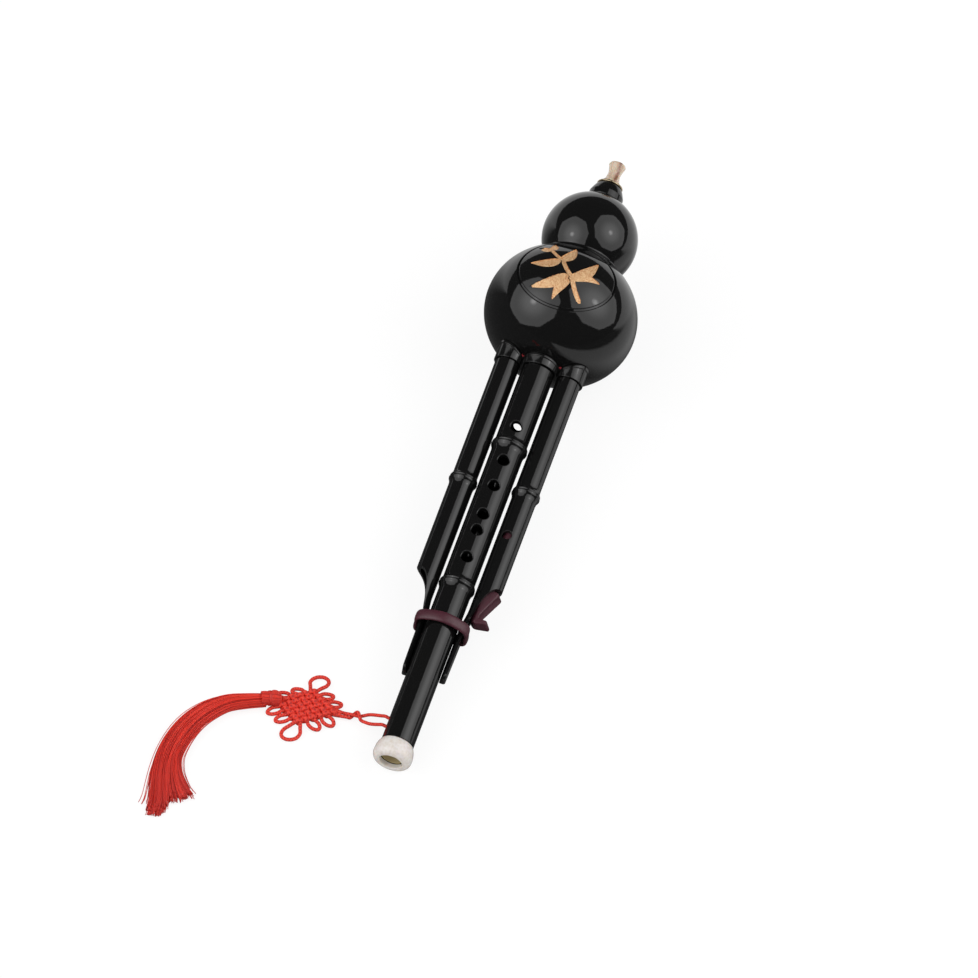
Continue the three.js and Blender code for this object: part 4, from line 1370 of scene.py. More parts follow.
class GourdForm:
    """The turned form of the gourd at any offset from its skin."""

    def __init__(self, size: GourdSizes) -> None:
        """Keeps the sizes.

        Args:
            size: The gourd's sizes.
        """
        self.size = size

    def radius_at(self, station: np.ndarray, offset: float = 0.0) -> np.ndarray:
        """Gives the radius at a station.

        Args:
            station: The stations.
            offset: How far the wall is moved out.

        Returns:
            The radii.
        """
        size = self.size
        low = (station - size.bulb_centre) / (size.bulb_half + offset)
        high = (station - size.crown_centre) / (size.crown_radius + offset)
        low_radius = (size.bulb_radius + offset) * np.sqrt(np.maximum(1 - low ** 2, 0))
        high_radius = (size.crown_radius + offset) * np.sqrt(np.maximum(1 - high ** 2, 0))
        near = (np.maximum(size.waist_blend - np.abs(low_radius - high_radius), 0)
                / size.waist_blend)
        return np.maximum(low_radius, high_radius) + near ** 2 * size.waist_blend / 4

    def profile(self, steps: int, offset: float = 0.0) -> Profile:
        """Gives the profile from the foot to the crown, with denser samples at the ends.

        Args:
            steps: The number of samples.
            offset: How far the wall is moved out.

        Returns:
            Radius and station of each sample.
        """
        size = self.size
        foot = size.bulb_centre - size.bulb_half - offset
        top = size.crown_centre + size.crown_radius + offset
        stations = (foot + top) / 2 - (top - foot) / 2 * np.cos(np.linspace(0, math.pi, steps + 1))
        return [(0.0, foot)] + [(float(self.radius_at(s, offset)), float(s))
                                for s in stations[1:-1]] + [(0.0, top)]

    def solid(self, steps: int, sides: int, offset: float = 0.0) -> bpy.types.Object:
        """Turns the form.

        Args:
            steps: The number of samples along it.
            sides: The number of facets round it.
            offset: How far the wall is moved out.

        Returns:
            The turned form.
        """
        return turned("form", self.profile(steps, offset), sides, 0.0, -self.size.setback)

    def under(self, across: np.ndarray, up: np.ndarray, lift: np.ndarray) -> np.ndarray:
        """Lays places round the ring's centre on the gourd's skin.

        Args:
            across: Places to the tassel's side, in millimetres.
            up: Places towards the neck.
            lift: How far off the skin each place is.

        Returns:
            Rows of station, side and front.
        """
        size = self.size
        tip, lean = math.radians(size.ring_turn), math.radians(size.ring_side)
        normal = np.array([math.sin(tip), math.sin(lean) * math.cos(tip),
                           math.cos(lean) * math.cos(tip)])
        side = np.array([0.0, math.cos(lean), -math.sin(lean)])
        upward = np.cross(side, normal)
        if upward[0] < 0:
            upward = -upward
        flat = across[:, None] * side + up[:, None] * upward
        reach = np.zeros(len(across)) + size.bulb_radius
        axes = np.array([size.bulb_half, size.bulb_radius, size.bulb_radius])
        for _ in range(12):
            point = flat + reach[:, None] * normal
            level = np.linalg.norm(point / axes, axis=1)
            reach = reach - (level - 1) * size.bulb_radius * 0.9
        point = flat + reach[:, None] * normal
        out = point / axes ** 2
        out /= np.linalg.norm(out, axis=1)[:, None]
        return point + out * lift[:, None] + np.array([size.bulb_centre, 0.0, -size.setback])


@dataclass(frozen=True)
class Leaf:
    """A leaf or a joint of the sprig: its root, its way, its length and its width."""

    across: float
    up: float
    turn: float
    length: float
    width: float
    bend: float = 0.0
    blunt: bool = False


SPRIG = (
    Leaf(12.6, -18.0, 126.0, 14.5, 2.6, 0.06, True), Leaf(4.2, -6.4, 131.0, 12.4, 2.3, 0.06, True),
    Leaf(-4.2, 3.1, 138.0, 10.6, 2.0, 0.05, True),
    Leaf(4.6, -7.3, 62.0, 20.5, 6.2, -0.10), Leaf(2.8, -7.6, 18.0, 17.0, 5.6, 0.10),
    Leaf(2.2, -6.4, -152.0, 21.0, 6.4, 0.08), Leaf(2.8, -8.3, -112.0, 13.6, 5.2, -0.08),
    Leaf(-4.4, 2.5, 74.0, 15.0, 5.8, -0.10), Leaf(-4.8, 2.1, -168.0, 16.0, 5.8, 0.10),
    Leaf(-12.0, 10.2, 158.0, 8.6, 4.2, 0.08), Leaf(-11.8, 10.4, 96.0, 7.6, 4.0, -0.08),
)


class Gourd:
    """The lacquered gourd with its engraved ring and its gilded sprig."""

    def __init__(self, wardrobe: Wardrobe, size: GourdSizes, form: GourdForm) -> None:
        """Builds the gourd.

        Args:
            wardrobe: The materials.
            size: The gourd's sizes.
            form: The gourd's form.
        """
        self.size = size
        self.form = form
        body = form.solid(170, size.sides)
        body.name = "gourd_lacquered"
        carve(body, self.groove())
        for number, leaf in enumerate(SPRIG):
            carve(body, self.leaf(leaf, size.leaf_depth * (1 - 0.05 * (number % 6))))
        carve(body, form.solid(40, 48, -size.wall))
        for place, radius in (((0.0, 0.0), 9.5), ((17.3, -1.8), 7.1), ((-17.3, -1.8), 7.1)):
            carve(body, rod("cutter", radius, 250.0, size.bulb_centre, 48, *place))
        laid(body, form.radius_at, 0.0, -size.setback)
        wardrobe.dress(body, Slot.GOURD, "gourd", ["gourd_body"])
        body.data.materials.append(wardrobe.materials[Slot.GILT])
        self.gild(body)

    def groove(self) -> bpy.types.Object:
        """Sweeps the engraved line of the ring along the skin: a deep slot with rounded lips."""
        turns = np.linspace(0, 2 * math.pi, 300, endpoint=False)
        half = [(1.0, 0.02), (0.74, -0.04), (0.54, -0.15), (0.4, -0.42), (0.42, -0.8)]
        section = [(1.0, 0.6), *half, *[(-a, b) for a, b in reversed(half)], (-1.0, 0.6)]
        rings = [self.form.under((self.size.ring_width + a * self.size.groove) * np.cos(turns),
                                 (self.size.ring_height + a * self.size.groove) * np.sin(turns),
                                 np.full(300, b)) for a, b in section]
        return skinned("cutter", np.stack(rings, axis=1), True)

    def leaf(self, leaf: Leaf, depth: float) -> bpy.types.Object:
        """Makes the cutter of one leaf, whose floor follows the skin.

        Args:
            leaf: The leaf.
            depth: How deep its floor lies under the skin.

        Returns:
            The cutter.
        """
        rows, columns = 22, 7
        along = np.linspace(0, 1, rows)
        if leaf.blunt:
            wide = np.clip(np.minimum(along, 1 - along) * 14, 0.55, 1.0) * 0.5
        else:
            wide = np.sin(math.pi * along ** 0.62) ** 0.85 * 0.5 + 0.035
        turn = math.radians(leaf.turn)
        ahead = np.array([math.cos(turn), math.sin(turn)])
        over = np.array([-ahead[1], ahead[0]])
        middle = (np.array([leaf.across, leaf.up]) + np.outer(along * leaf.length, ahead)
                  + np.outer(np.sin(math.pi * along) * leaf.bend * leaf.length, over))
        shares = np.linspace(-1, 1, columns)
        flat = middle[:, None, :] + (wide * leaf.width)[:, None, None] * shares[:, None] * over
        flat = flat.reshape(-1, 2)
        sheets = [self.form.under(-flat[:, 0], flat[:, 1], np.full(len(flat), lift))
                  for lift in (-depth, 1.2)]
        points = np.vstack(sheets)
        count = rows * columns
        faces = []
        for i in range(rows - 1):
            for j in range(columns - 1):
                a = i * columns + j
                quad = (a, a + 1, a + columns + 1, a + columns)
                faces += [quad, tuple(count + q for q in quad)]
        edge = [j for j in range(columns)]
        edge += [i * columns + columns - 1 for i in range(1, rows)]
        edge += [(rows - 1) * columns + j for j in range(columns - 2, -1, -1)]
        edge += [i * columns for i in range(rows - 2, 0, -1)]
        for a, b in zip(edge, edge[1:] + edge[:1]):
            faces.append((a, b, count + b, count + a))
        return piece("cutter", points, faces)

    def gild(self, body: bpy.types.Object) -> None:
        """Gives the floors of the leaves their gold.

        Args:
            body: The gourd.
        """
        mesh = body.data
        centres = np.array([tuple(p.center) for p in mesh.polygons])
        local = LIE.read(centres)
        size = self.size
        axes = np.array([size.bulb_half, size.bulb_radius, size.bulb_radius])
        away = (local - np.array([size.bulb_centre, 0.0, -size.setback])) / axes
        deep = (1 - np.linalg.norm(away, axis=1)) * size.bulb_radius
        inside = self.in_ring(local)
        floor = (deep > size.leaf_depth * 0.3) & (deep < size.leaf_depth * 1.4) & inside
        mesh.polygons.foreach_set("material_index", floor.astype(np.int32))

    def in_ring(self, local: np.ndarray) -> np.ndarray:
        """Tells which places lie well inside the ring.

        Args:
            local: Rows of station, side and front.

        Returns:
            A share of true and false.
        """
        centre = self.form.under(np.zeros(1), np.zeros(1), np.zeros(1))[0]
        away = np.linalg.norm(local - centre, axis=1)
        return away < self.size.ring_height * 0.96


@dataclass(frozen=True)
class SeatSizes:
    """The scalloped seat of the pipes."""

    foot: float = 254.5
    top: float = 268.0
    melody: float = 10.4
    drone: float = 7.9
    proud: float = 0.55
    rim: float = 1.5
    gap: float = 0.35
    melody_bore: float = 8.4
    drone_bore: float = 6.3


class Seat:
    """The seat: three collars that meet the gourd in a proud, bevelled rim."""

    def __init__(self, wardrobe: Wardrobe, size: SeatSizes, form: GourdForm) -> None:
        """Builds the seat.

        Args:
            wardrobe: The materials.
            size: The seat's sizes.
            form: The gourd's form.
        """
        seat = self.collars(size, 0.0, 0.0)
        rims = self.collars(size, size.proud, 0.21)
        carve(rims, form.solid(72, 128, size.gap + size.rim), Cut.KEEP)
        carve(seat, rims, Cut.JOIN)
        carve(seat, form.solid(72, 128, size.gap))
        for place, radius in (((0.0, 0.0), size.melody_bore), ((17.3, -1.8), size.drone_bore),
                              ((-17.3, -1.8), size.drone_bore)):
            carve(seat, rod("cutter", radius, size.foot - 2.0, size.top + 2.0, 64, *place))
        soften(seat, 0.22, 60.0, 2)
        seat.name = "pipe_seat_lacquered"
        laid(seat, sharp=32.0)
        wardrobe.dress(seat, Slot.HARDWOOD, "gourd", ["pipe_seat"])

    def collars(self, size: SeatSizes, proud: float, clear: float) -> bpy.types.Object:
        """Joins the three collars.

        Args:
            size: The seat's sizes.
            proud: How far they stand out further.
            clear: How much later they start and end.

        Returns:
            The joined collars.
        """
        made = None
        for place, radius in (((0.0, 0.0), size.melody), ((17.3, -1.8), size.drone),
                              ((-17.3, -1.8), size.drone)):
            start, end = size.foot + clear, size.top + clear
            edge = rounded([(0.0, start), (radius + proud, start), (radius + proud, end),
                            (0.0, end)], 0.3)
            collar = turned("collar", edge, 128, *place)
            made = collar if made is None else carve(made, collar, Cut.JOIN)
        return made


@dataclass(frozen=True)
class TipSizes:
    """The ferrule on the crown, its ring and the mouthpiece."""

    setback: float = 7.0
    crown_centre: float = 345.7
    crown_radius: float = 26.2
    foot_radius: float = 9.6
    top_radius: float = 7.0
    top: float = 379.6
    airway: float = 2.4
    socket: float = 4.0
    socket_depth: float = 9.7
    ring: float = 1.1
    gap: float = 0.3
    length: float = 13.7
    mouth_foot: float = 5.0
    mouth_waist: float = 3.5
    mouth_tip: float = 4.7
    mouth_bore: float = 1.6
    tenon: float = 2.7


class Tip:
    """The flanged ferrule, the metal ring and the horn mouthpiece."""

    def __init__(self, wardrobe: Wardrobe, size: TipSizes) -> None:
        """Builds the three pieces.

        Args:
            wardrobe: The materials.
            size: Their sizes.
        """
        foot = size.crown_centre + math.sqrt(
            (size.crown_radius + size.gap) ** 2 - size.foot_radius ** 2)
        shape = smooth([(0.0, size.foot_radius - 0.3), (0.06, size.foot_radius),
                        (0.4, size.foot_radius), (0.47, size.foot_radius - 0.2),
                        (0.88, size.top_radius + 0.75), (0.95, size.top_radius + 0.3),
                        (1.0, size.top_radius - 0.4)])
        outline = [(size.airway, foot - 1.0), (4.5, foot + 1.2),
                   (size.foot_radius - 0.7, foot - 0.1)]
        outline += [(float(shape(t)), foot + (size.top - foot) * t) for t in np.linspace(0, 1, 61)]
        floor = size.top - size.socket_depth
        outline += [(size.socket + 0.25, size.top),
                    (size.socket, size.top - 0.25), (size.socket, floor), (size.airway, floor),
                    (size.airway, foot - 1.0)]
        wardrobe.dress(laid(turned("ferrule_lacquered", outline, 128, 0.0, -size.setback)),
                       Slot.HARDWOOD, "gourd", ["neck_ferrule"])
        start = size.top + size.gap
        bow = [(size.top_radius - 0.12 + 0.42 * math.cos(t),
                start + size.ring / 2 * (1 + math.sin(t)))
               for t in np.linspace(-math.pi / 2, math.pi / 2, 9)]
        band = [(size.socket, start), *bow, (size.socket, start + size.ring), (size.socket, start)]
        wardrobe.dress(laid(turned("ring_polished", band, 96, 0.0, -size.setback)),
                       Slot.RING, "gourd", ["ferrule_ring"])
        self.mouthpiece(wardrobe, size, start + size.ring + size.gap, floor + size.gap)

    def mouthpiece(self, wardrobe: Wardrobe, size: TipSizes, foot: float,
                   tenon_foot: float) -> None:
        """Turns the mouthpiece.

        Args:
            wardrobe: The materials.
            size: Its sizes.
            foot: The station of its foot.
            tenon_foot: The station of its tenon's foot.
        """
        shape = smooth([(0.0, size.mouth_foot), (0.1, size.mouth_foot),
                        (0.2, size.mouth_foot * 0.86),
                        (0.38, size.mouth_waist * 1.05), (0.52, size.mouth_waist),
                        (0.65, size.mouth_waist * 1.08), (0.82, size.mouth_tip * 0.94),
                        (0.9, size.mouth_tip), (0.965, size.mouth_tip * 0.91)])
        outer = [(float(shape(t)), foot + size.length * t) for t in np.linspace(0, 0.965, 40)]
        end = foot + size.length
        lip = [(size.mouth_tip * 0.8, end - 0.12), (size.mouth_tip * 0.66, end),
               (size.mouth_bore * 1.45, end), (size.mouth_bore * 1.12, end - 0.2)]
        profile = [(size.mouth_bore, tenon_foot), (size.tenon, tenon_foot), (size.tenon, foot),
                   *outer, *lip, (size.mouth_bore, end - 0.7), (size.mouth_bore, tenon_foot)]
        tip = turned("mouthpiece_horn", profile, 96, 0.0, -size.setback)
        wardrobe.dress(laid(tip, sharp=50.0), Slot.HORN, "mouthpiece_tip", ["mouthpiece"])


@dataclass(frozen=True)
class CapSizes:
    """The foot cap."""

    length: float = 11.2
    mouth: float = 6.35
    radius: float = 10.95
    rim: float = 9.45
    floor: float = 2.9
    lip: float = 0.7
    face: float = 7.9
    belly: float = 4.0
    tenon: float = 7.9


def foot_cap(wardrobe: Wardrobe, size: CapSizes) -> None:
    """Turns the foot cap: a round belly, a flat face and a thin upper rim.

    Args:
        wardrobe: The materials.
        size: Its sizes.
    """
    inner = [(size.mouth + size.lip * (1 - math.sin(t)), size.lip * (1 - math.cos(t)))
             for t in np.linspace(math.pi / 2, 0, 6)]
    outer = [(size.face + (size.radius - size.face) * math.sin(t), size.belly * (1 - math.cos(t)))
             for t in np.linspace(0.05, math.pi / 2, 18)]
    upper = size.length - size.belly
    inset = size.radius - size.rim
    taper = smooth([(0.0, size.radius), (0.35, size.radius - inset * 0.12),
                    (0.7, size.radius - inset * 0.45), (0.96, size.rim)])
    side = [(float(taper(t)), size.belly + upper * t) for t in np.linspace(0.05, 0.96, 18)]
    profile = [*inner, *outer, *side, (size.rim - 0.3, size.length), (size.tenon, size.length),
               (size.tenon, size.floor), (size.mouth, size.floor), inner[0]]
    cap = turned("foot_cap_resin", profile, 144)
    wardrobe.dress(laid(cap, sharp=50.0), Slot.RESIN, "melody", ["foot_cap"])


@dataclass(frozen=True)
class PlugSizes:
    """The rubber plug of the right drone."""

    radius: float = 4.2
    top: float = 155.0
    shoulder: float = 118.1
    neck: float = 95.6
    neck_depth: float = 4.6
    skin: float = 6.85
    proud: float = 1.4
    half_width: float = 3.7
    bare: float = 2.6
    tab_length: float = 6.9
    tab_thickness: float = 2.5
    tab_rise: float = 1.3
    twist: float = 0.3
    dish: float = 0.8
    dish_radius: float = 5.6
    spacing: float = 17.3
    setback: float = 1.8


def drone_plug(wardrobe: Wardrobe, size: PlugSizes) -> None:
    """Cuts the plug: a rod that fills the bore, slanted down to a neck whose tab turns outwards.

    Args:
        wardrobe: The materials.
        size: Its sizes.
    """
    place = (-size.spacing, -size.setback)
    inner, outer = -size.radius, size.skin + size.proud
    neck = inner + size.neck_depth
    tab = size.neck + size.tab_rise + size.tab_thickness
    body = rounded([
        (size.shoulder + 2.0, inner), (size.neck + 2.2, inner), (size.neck, inner + 2.76),
        (size.neck, neck), (size.neck + size.tab_rise, neck + size.tab_length),
        (tab, neck + size.tab_length * 0.93), (tab, neck), (size.shoulder - 0.5, outer + 0.3),
        (size.shoulder, size.bare), (size.shoulder + 2.0, size.bare)], 2.6, 10)

    def to_frame(points: np.ndarray) -> np.ndarray:
        # The mouth is cut on the skew, so the plug's face turns a little to the front
        share = np.clip((points[:, 1] + 2.0) / 5.0, 0, 1)
        out = points[:, 1] - size.twist * (points[:, 2] + size.half_width) * share
        return np.stack([points[:, 0], place[0] - out, place[1] + points[:, 2]], axis=1)

    lower = prism(np.array(body), (-size.half_width, size.half_width), to_frame, "plug_rubber")
    soften(lower, 0.7, 50.0, 5)
    carve(lower, plug_dish(size, np.array([size.shoulder - 0.5, outer + 0.3]),
                           np.array([tab, neck]),
                           to_frame))
    trunk = rod("cutter", size.radius, size.neck - 2.0, size.shoulder + 2.0, 72, *place)
    keep = np.array([[size.neck - 2.0, size.bare], [size.shoulder + 0.01, size.bare],
                     [size.shoulder + 0.01, 12.0], [size.neck - 2.0, 12.0]])
    carve(trunk, prism(keep, (-size.half_width - 1.0, size.half_width + 1.0), to_frame), Cut.JOIN)
    carve(lower, trunk, Cut.KEEP)
    upper = rod("cutter", size.radius, size.shoulder + 0.3, size.top, 72, *place)
    carve(lower, upper, Cut.JOIN)
    wardrobe.dress(laid(lower, sharp=40.0), Slot.RUBBER, "plug", ["drone_plug"])


def plug_dish(size: PlugSizes, top: np.ndarray, low: np.ndarray,
              to_frame: Callable[[np.ndarray], np.ndarray]) -> bpy.types.Object:
    """Makes the cutter of the hollow in the plug's slanted face, which leaves a raised rim round it.

    Args:
        size: The plug's sizes.
        top: Where the face starts, as station and place outwards.
        low: Where it ends.
        to_frame: Turns station, place outwards and place to the front into the frame of the pipes.

    Returns:
        The cutter.
    """
    way = (low - top) / np.linalg.norm(low - top)
    out = np.array([way[1], -way[0]])
    turns = np.linspace(-1, 1, 25)
    rings = []
    for share in np.linspace(0.05, 0.95, 25):
        radius = size.dish_radius - size.dish * 1.25 * (2 * share - 1) ** 4
        half = math.acos((size.dish_radius - size.dish - 0.5) / radius)
        down = size.dish_radius - size.dish - radius * np.cos(turns * half)
        across = radius * np.sin(turns * half)
        middle = top + (low - top) * share
        arc = np.column_stack([middle + np.outer(down, out), across])
        rings.append(to_frame(np.vstack([arc, arc[[-1, 0]] + [*out * 0.8, 0.0]])))
    return skinned("cutter", np.array(rings))


@dataclass(frozen=True)
class BandSizes:
    """The rubber band round the melody pipe and both tongues."""

    station: float = 88.4
    height: float = 6.5
    thickness: float = 2.5
    gap: float = 0.3
    melody: float = 9.0
    spacing: float = 17.3
    drone: float = 6.85
    tongue: float = 1.95
    half_width: float = 5.0
    setback: float = 1.8


def rubber_band(wardrobe: Wardrobe, size: BandSizes) -> None:
    """Stretches the band round the pipe and the tongues.

    Args:
        wardrobe: The materials.
        size: Its sizes.
    """
    reach = size.gap + size.thickness / 2
    front = size.melody + reach
    side = size.spacing - size.drone + size.tongue + reach
    top = size.half_width - size.setback + reach * 0.75
    bottom = -size.half_width - size.setback - reach * 0.75
    corner = side - reach * 0.25
    flank = size.melody * 0.72
    half = [(0.0, front), (flank, front * 0.86), (corner, top), (side, -size.setback),
            (corner, bottom), (flank, -front * 0.94), (0.0, -front)]
    line = spline(np.array(half + [(-a, b) for a, b in half[-2:0:-1]]), 180, True)
    ahead = np.roll(line, -1, axis=0) - np.roll(line, 1, axis=0)
    ahead /= np.linalg.norm(ahead, axis=1)[:, None]
    out = np.stack([-ahead[:, 1], ahead[:, 0]], axis=1)
    if (out[0] @ line[0]) < 0:
        out = -out
    turns = np.linspace(0, 2 * math.pi, 28, endpoint=False)
    rise = np.sign(np.cos(turns)) * np.abs(np.cos(turns)) ** 0.8 * size.height / 2
    proud = np.sign(np.sin(turns)) * np.abs(np.sin(turns)) ** 0.9 * size.thickness / 2
    ring = line[:, None, :] + proud[None, :, None] * out[:, None, :]
    station = np.broadcast_to(size.station + rise, ring.shape[:2])
    points = np.concatenate([station[..., None], ring], axis=2).reshape(-1, 3)
    band = skinned("band_rubber", points.reshape(len(line), len(turns), 3), True)
    wardrobe.dress(laid(band), Slot.RUBBER, "band", ["rubber_band"])


@dataclass(frozen=True)
class CordSizes:
    """The cord from the pipe to the knot, and the knot."""

    diameter: float = 1.9
    angle: float = 12.0
    knot_cord: float = 2.1
    woven_cord: float = 2.8
    centre: tuple[float, float] = (22.3, 54.5)
    turn: float = 54.0
    runs: int = 6
    pitch: float = 3.45
    height: float = 2.62
    weave: float = 1.15
    lean: float = -6.0
    pull: float = 1.24
    slump: float = 0.85
    skew: float = -0.2
    droop: float = 1.4
    ear_length: float = 5.9
    ear_bulge: float = 0.6
    loop_length: float = 11.8
    loop_width: float = 7.8


LOWER_ROUTE = (
    (21.3, 11.4, 11.0), (21.7, 13.9, 9.3), (22.4, 16.3, 7.2), (23.2, 18.7, 5.3), (24.2, 21.2, 3.9),
    (24.9, 23.1, 3.1), (25.2, 24.2, 3.5), (26.0, 25.0, 4.6), (27.3, 25.9, 5.0), (28.6, 26.8, 4.4),
    (29.1, 27.7, 3.0), (28.4, 28.6, 1.6), (26.9, 29.4, 1.0), (25.4, 30.2, 1.5), (24.8, 31.4, 2.3),
    (24.6, 33.2, 2.1), (24.4, 35.2, 1.8), (24.2, 37.1, 1.5), (24.0, 39.5, 1.2))
UPPER_ROUTE = (
    (26.7, 11.4, 11.7), (27.4, 13.9, 9.9), (28.4, 16.3, 7.7), (29.2, 18.7, 5.7), (29.3, 21.2, 4.1),
    (28.4, 23.4, 3.2), (27.4, 25.4, 2.9), (27.1, 27.4, 2.9), (26.9, 29.4, 3.0), (26.8, 31.4, 2.7),
    (26.7, 33.2, 2.4), (26.7, 35.2, 2.2), (26.8, 37.1, 2.3), (26.8, 39.6, 2.6))


class Cords:
    """The two strands of red cord and the woven knot that they run to."""

    def __init__(self, wardrobe: Wardrobe, size: CordSizes) -> None:
        """Lays the cords.

        Args:
            wardrobe: The materials.
            size: Their sizes.
        """
        self.size = size
        self.strand(wardrobe, "lower_strand_braid", 21.0, LOWER_ROUTE, "lower_cord_strand")
        self.strand(wardrobe, "upper_strand_braid", 26.3, UPPER_ROUTE, "upper_cord_strand")
        knot = several_tubes("knot_braid", [
            (tube(LIE.floor(self.turned_out(line)), self.girth(line) * MM, 14, closed), closed)
            for line, closed in self.knot_lines()])
        wardrobe.dress(knot, Slot.CORD, "melody", ["woven_knot"])

    def strand(self, wardrobe: Wardrobe, name: str, station: float,
               route: Sequence[tuple[float, float, float]], node: str) -> None:
        """Lays one strand from its hole to the knot.

        Args:
            wardrobe: The materials.
            name: The piece's name.
            station: The place of its hole along the pipe.
            route: Its places over the floor.
            node: The node of the frame that it stands for.
        """
        tilt = math.radians(self.size.angle)
        mouth = np.array([[station, r * math.cos(tilt), -r * math.sin(tilt)]
                          for r in (7.0, 9.0, 9.8)])
        points = np.vstack([LIE.place(mouth), LIE.floor(np.array(route))])
        line = spline(points / MM, 150) * MM
        radius = self.size.diameter / 2 * MM
        obj = several_tubes(name, [(tube(line, radius, 14), False)])
        wardrobe.dress(obj, Slot.CORD, "melody", [node])

    def girth(self, line: np.ndarray) -> np.ndarray:
        """Gives the cord's radius: it is drawn double, side by side, where it is woven.

        Args:
            line: Rows of places in the knot.

        Returns:
            The radius at each place.
        """
        size = self.size
        away = np.abs(line[:, :2]).max(axis=1) - size.pitch * size.runs / 2
        share = np.clip(0.6 + away / 2.0, 0, 1)
        return (size.woven_cord + (size.knot_cord - size.woven_cord) * share) / 2

    def turned_out(self, line: np.ndarray) -> np.ndarray:
        """Turns the knot's own places into places over the floor.

        Args:
            line: Rows of two places in the knot and a height.

        Returns:
            Rows of places from the foot and heights.
        """
        turn = math.radians(self.size.turn)
        c, s = math.cos(turn), math.sin(turn)
        # The cord draws the knot longer between its two ends, and its loops slump to one side
        long, wide = line[:, 0] + line[:, 1], line[:, 0] - line[:, 1]
        long, wide = long * self.size.pull + wide * self.size.skew, wide * self.size.slump
        across, along = (long + wide) / 2, (long - wide) / 2
        x = self.size.centre[0] + across * c - along * s
        y = self.size.centre[1] + across * s + along * c
        return np.stack([x, y, line[:, 2]], axis=1)

    def run(self, row: int, flip: bool) -> np.ndarray:
        """Weaves one run of the cord over and under the runs that cross it.

        Args:
            row: The run's number.
            flip: Whether it runs the other way across.

        Returns:
            Rows of places in the knot.
        """
        size = self.size
        half = size.pitch * size.runs / 2
        along = np.linspace(-half, half, size.runs * 8 + 1)
        first = -(size.runs - 1) / 2 * size.pitch
        wave = np.cos(math.pi * (along - first) / size.pitch) * (-1) ** row
        sign = -1.0 if flip else 1.0
        height = size.height + sign * size.weave * np.sign(wave) * np.abs(wave) ** 0.8
        across = np.full_like(along, first + row * size.pitch)
        pair = (across, along) if flip else (along, across)
        return np.stack([*pair, height], axis=1)

    def ear(self, row: int, end: int, flip: bool) -> np.ndarray:
        """Bends the cord back at the knot's edge, from one run to the next.

        Args:
            row: The run that it leaves.
            end: The edge, -1 or 1.
            flip: Whether the runs go the other way across.

        Returns:
            Rows of places in the knot.
        """
        size = self.size
        half = size.pitch * size.runs / 2
        first = -(size.runs - 1) / 2 * size.pitch
        near = first + row * size.pitch
        middle = near + size.pitch / 2
        wide = size.pitch / 2 + size.ear_bulge
        shares = [(0.45, -1.0), (0.85, -0.62), (1.0, 0.0), (0.85, 0.62), (0.45, 1.0)]
        reach = size.ear_length * (0.96 + 0.16 * math.sin(3.1 * row + 1.7 * end + 2.0 * flip))
        out = [(half + reach * a, middle + wide * b) for a, b in shares]
        pairs = [(a * end, b) for a, b in out]
        pairs = [(b, a) for a, b in pairs] if flip else pairs
        low = [size.height - size.droop * c for c in (0.4, 0.9, 1.0, 0.9, 0.4)]
        return np.array([(a, b, c) for (a, b), c in zip(pairs, low)])

    def corner(self, end: int) -> np.ndarray:
        """Bends the large loop at one of two corners.

        Args:
            end: The corner, -1 or 1.

        Returns:
            Rows of places in the knot.
        """
        size = self.size
        half = size.pitch * size.runs / 2
        reach = size.loop_length / math.sqrt(2)
        spread = size.loop_width / 2 / math.sqrt(2)
        shares = [(0.2, -0.66), (0.45, -0.95), (0.72, -0.93), (0.92, -0.58), (1.0, 0.0),
                  (0.92, 0.58), (0.72, 0.93), (0.45, 0.95), (0.2, 0.66)]
        flat = np.array([(half + reach * a - spread * b, -(half + reach * a + spread * b))
                         for a, b in shares]) * end
        root = np.array([half, -half]) * end
        c, s = math.cos(math.radians(size.lean)), math.sin(math.radians(size.lean))
        flat = root + (flat - root) @ np.array([[c, s], [-s, c]])
        low = [size.height - size.droop * min(a * 1.3, 1.0) for a, _ in shares]
        return np.column_stack([flat, low])

    def knot_lines(self) -> list[tuple[np.ndarray, bool]]:
        """Follows the cord through the knot.

        Returns:
            The middle line of each stretch, and whether it closes on itself.
        """
        size = self.size
        last = size.runs - 1
        half = size.pitch * size.runs / 2
        lines = []
        for flip in (False, True):
            for row in range(1, last, 2):
                line = np.vstack([self.run(row, flip), self.ear(row, 1, flip),
                                  self.run(row + 1, flip)[::-1], self.ear(row, -1, flip)[::-1]])
                lines.append((spline(line, 420, True), True))
        entry = np.array([[-half - 1.3, -half - 0.6, size.height - 0.3]])
        tail = np.array([[half + 1.2, half + 1.5, size.height + 0.6],
                         [half + 2.6, half + 2.9, size.height + 2.0]])
        swap = np.array([[-half - 0.6, -half - 1.3, size.height + 0.3]])
        tail_swap = tail + np.array([0.5, -0.5, 0.1])
        tail = tail - np.array([0.5, -0.5, 0.0])
        lines.append((spline(np.vstack([entry, self.run(0, False), self.corner(1),
                                        self.run(last, True), tail_swap]), 560), False))
        lines.append((spline(np.vstack([swap, self.run(0, True), self.corner(-1)[::-1],
                                        self.run(last, False), tail]), 560), False))
        return lines


# Turns between neighbours of a sunflower's even spread, in radians
GOLDEN_ANGLE = 2.39996
# Where across the skirt, from -1 to 1, a thread ends how many rings early
SKIRT_LOBES = ((-1.0, 3.0), (-0.7, 0.5), (-0.3, 0.0), (-0.05, 1.0), (0.12, 3.8),
               (0.35, 4.6), (1.0, 6.0))


@dataclass(frozen=True)
class TasselSizes:
    """The bound head and the loose threads of the tassel."""

    head_start: tuple[float, float] = (21.1, 67.9)
    head_turn: float = 112.0
    head_radius: float = 4.8
    head_length: float = 10.8
    thread: float = 0.42
    threads: int = 760
    strays: int = 16
    clumps: int = 34
    rings: int = 46
    seed: int = 7


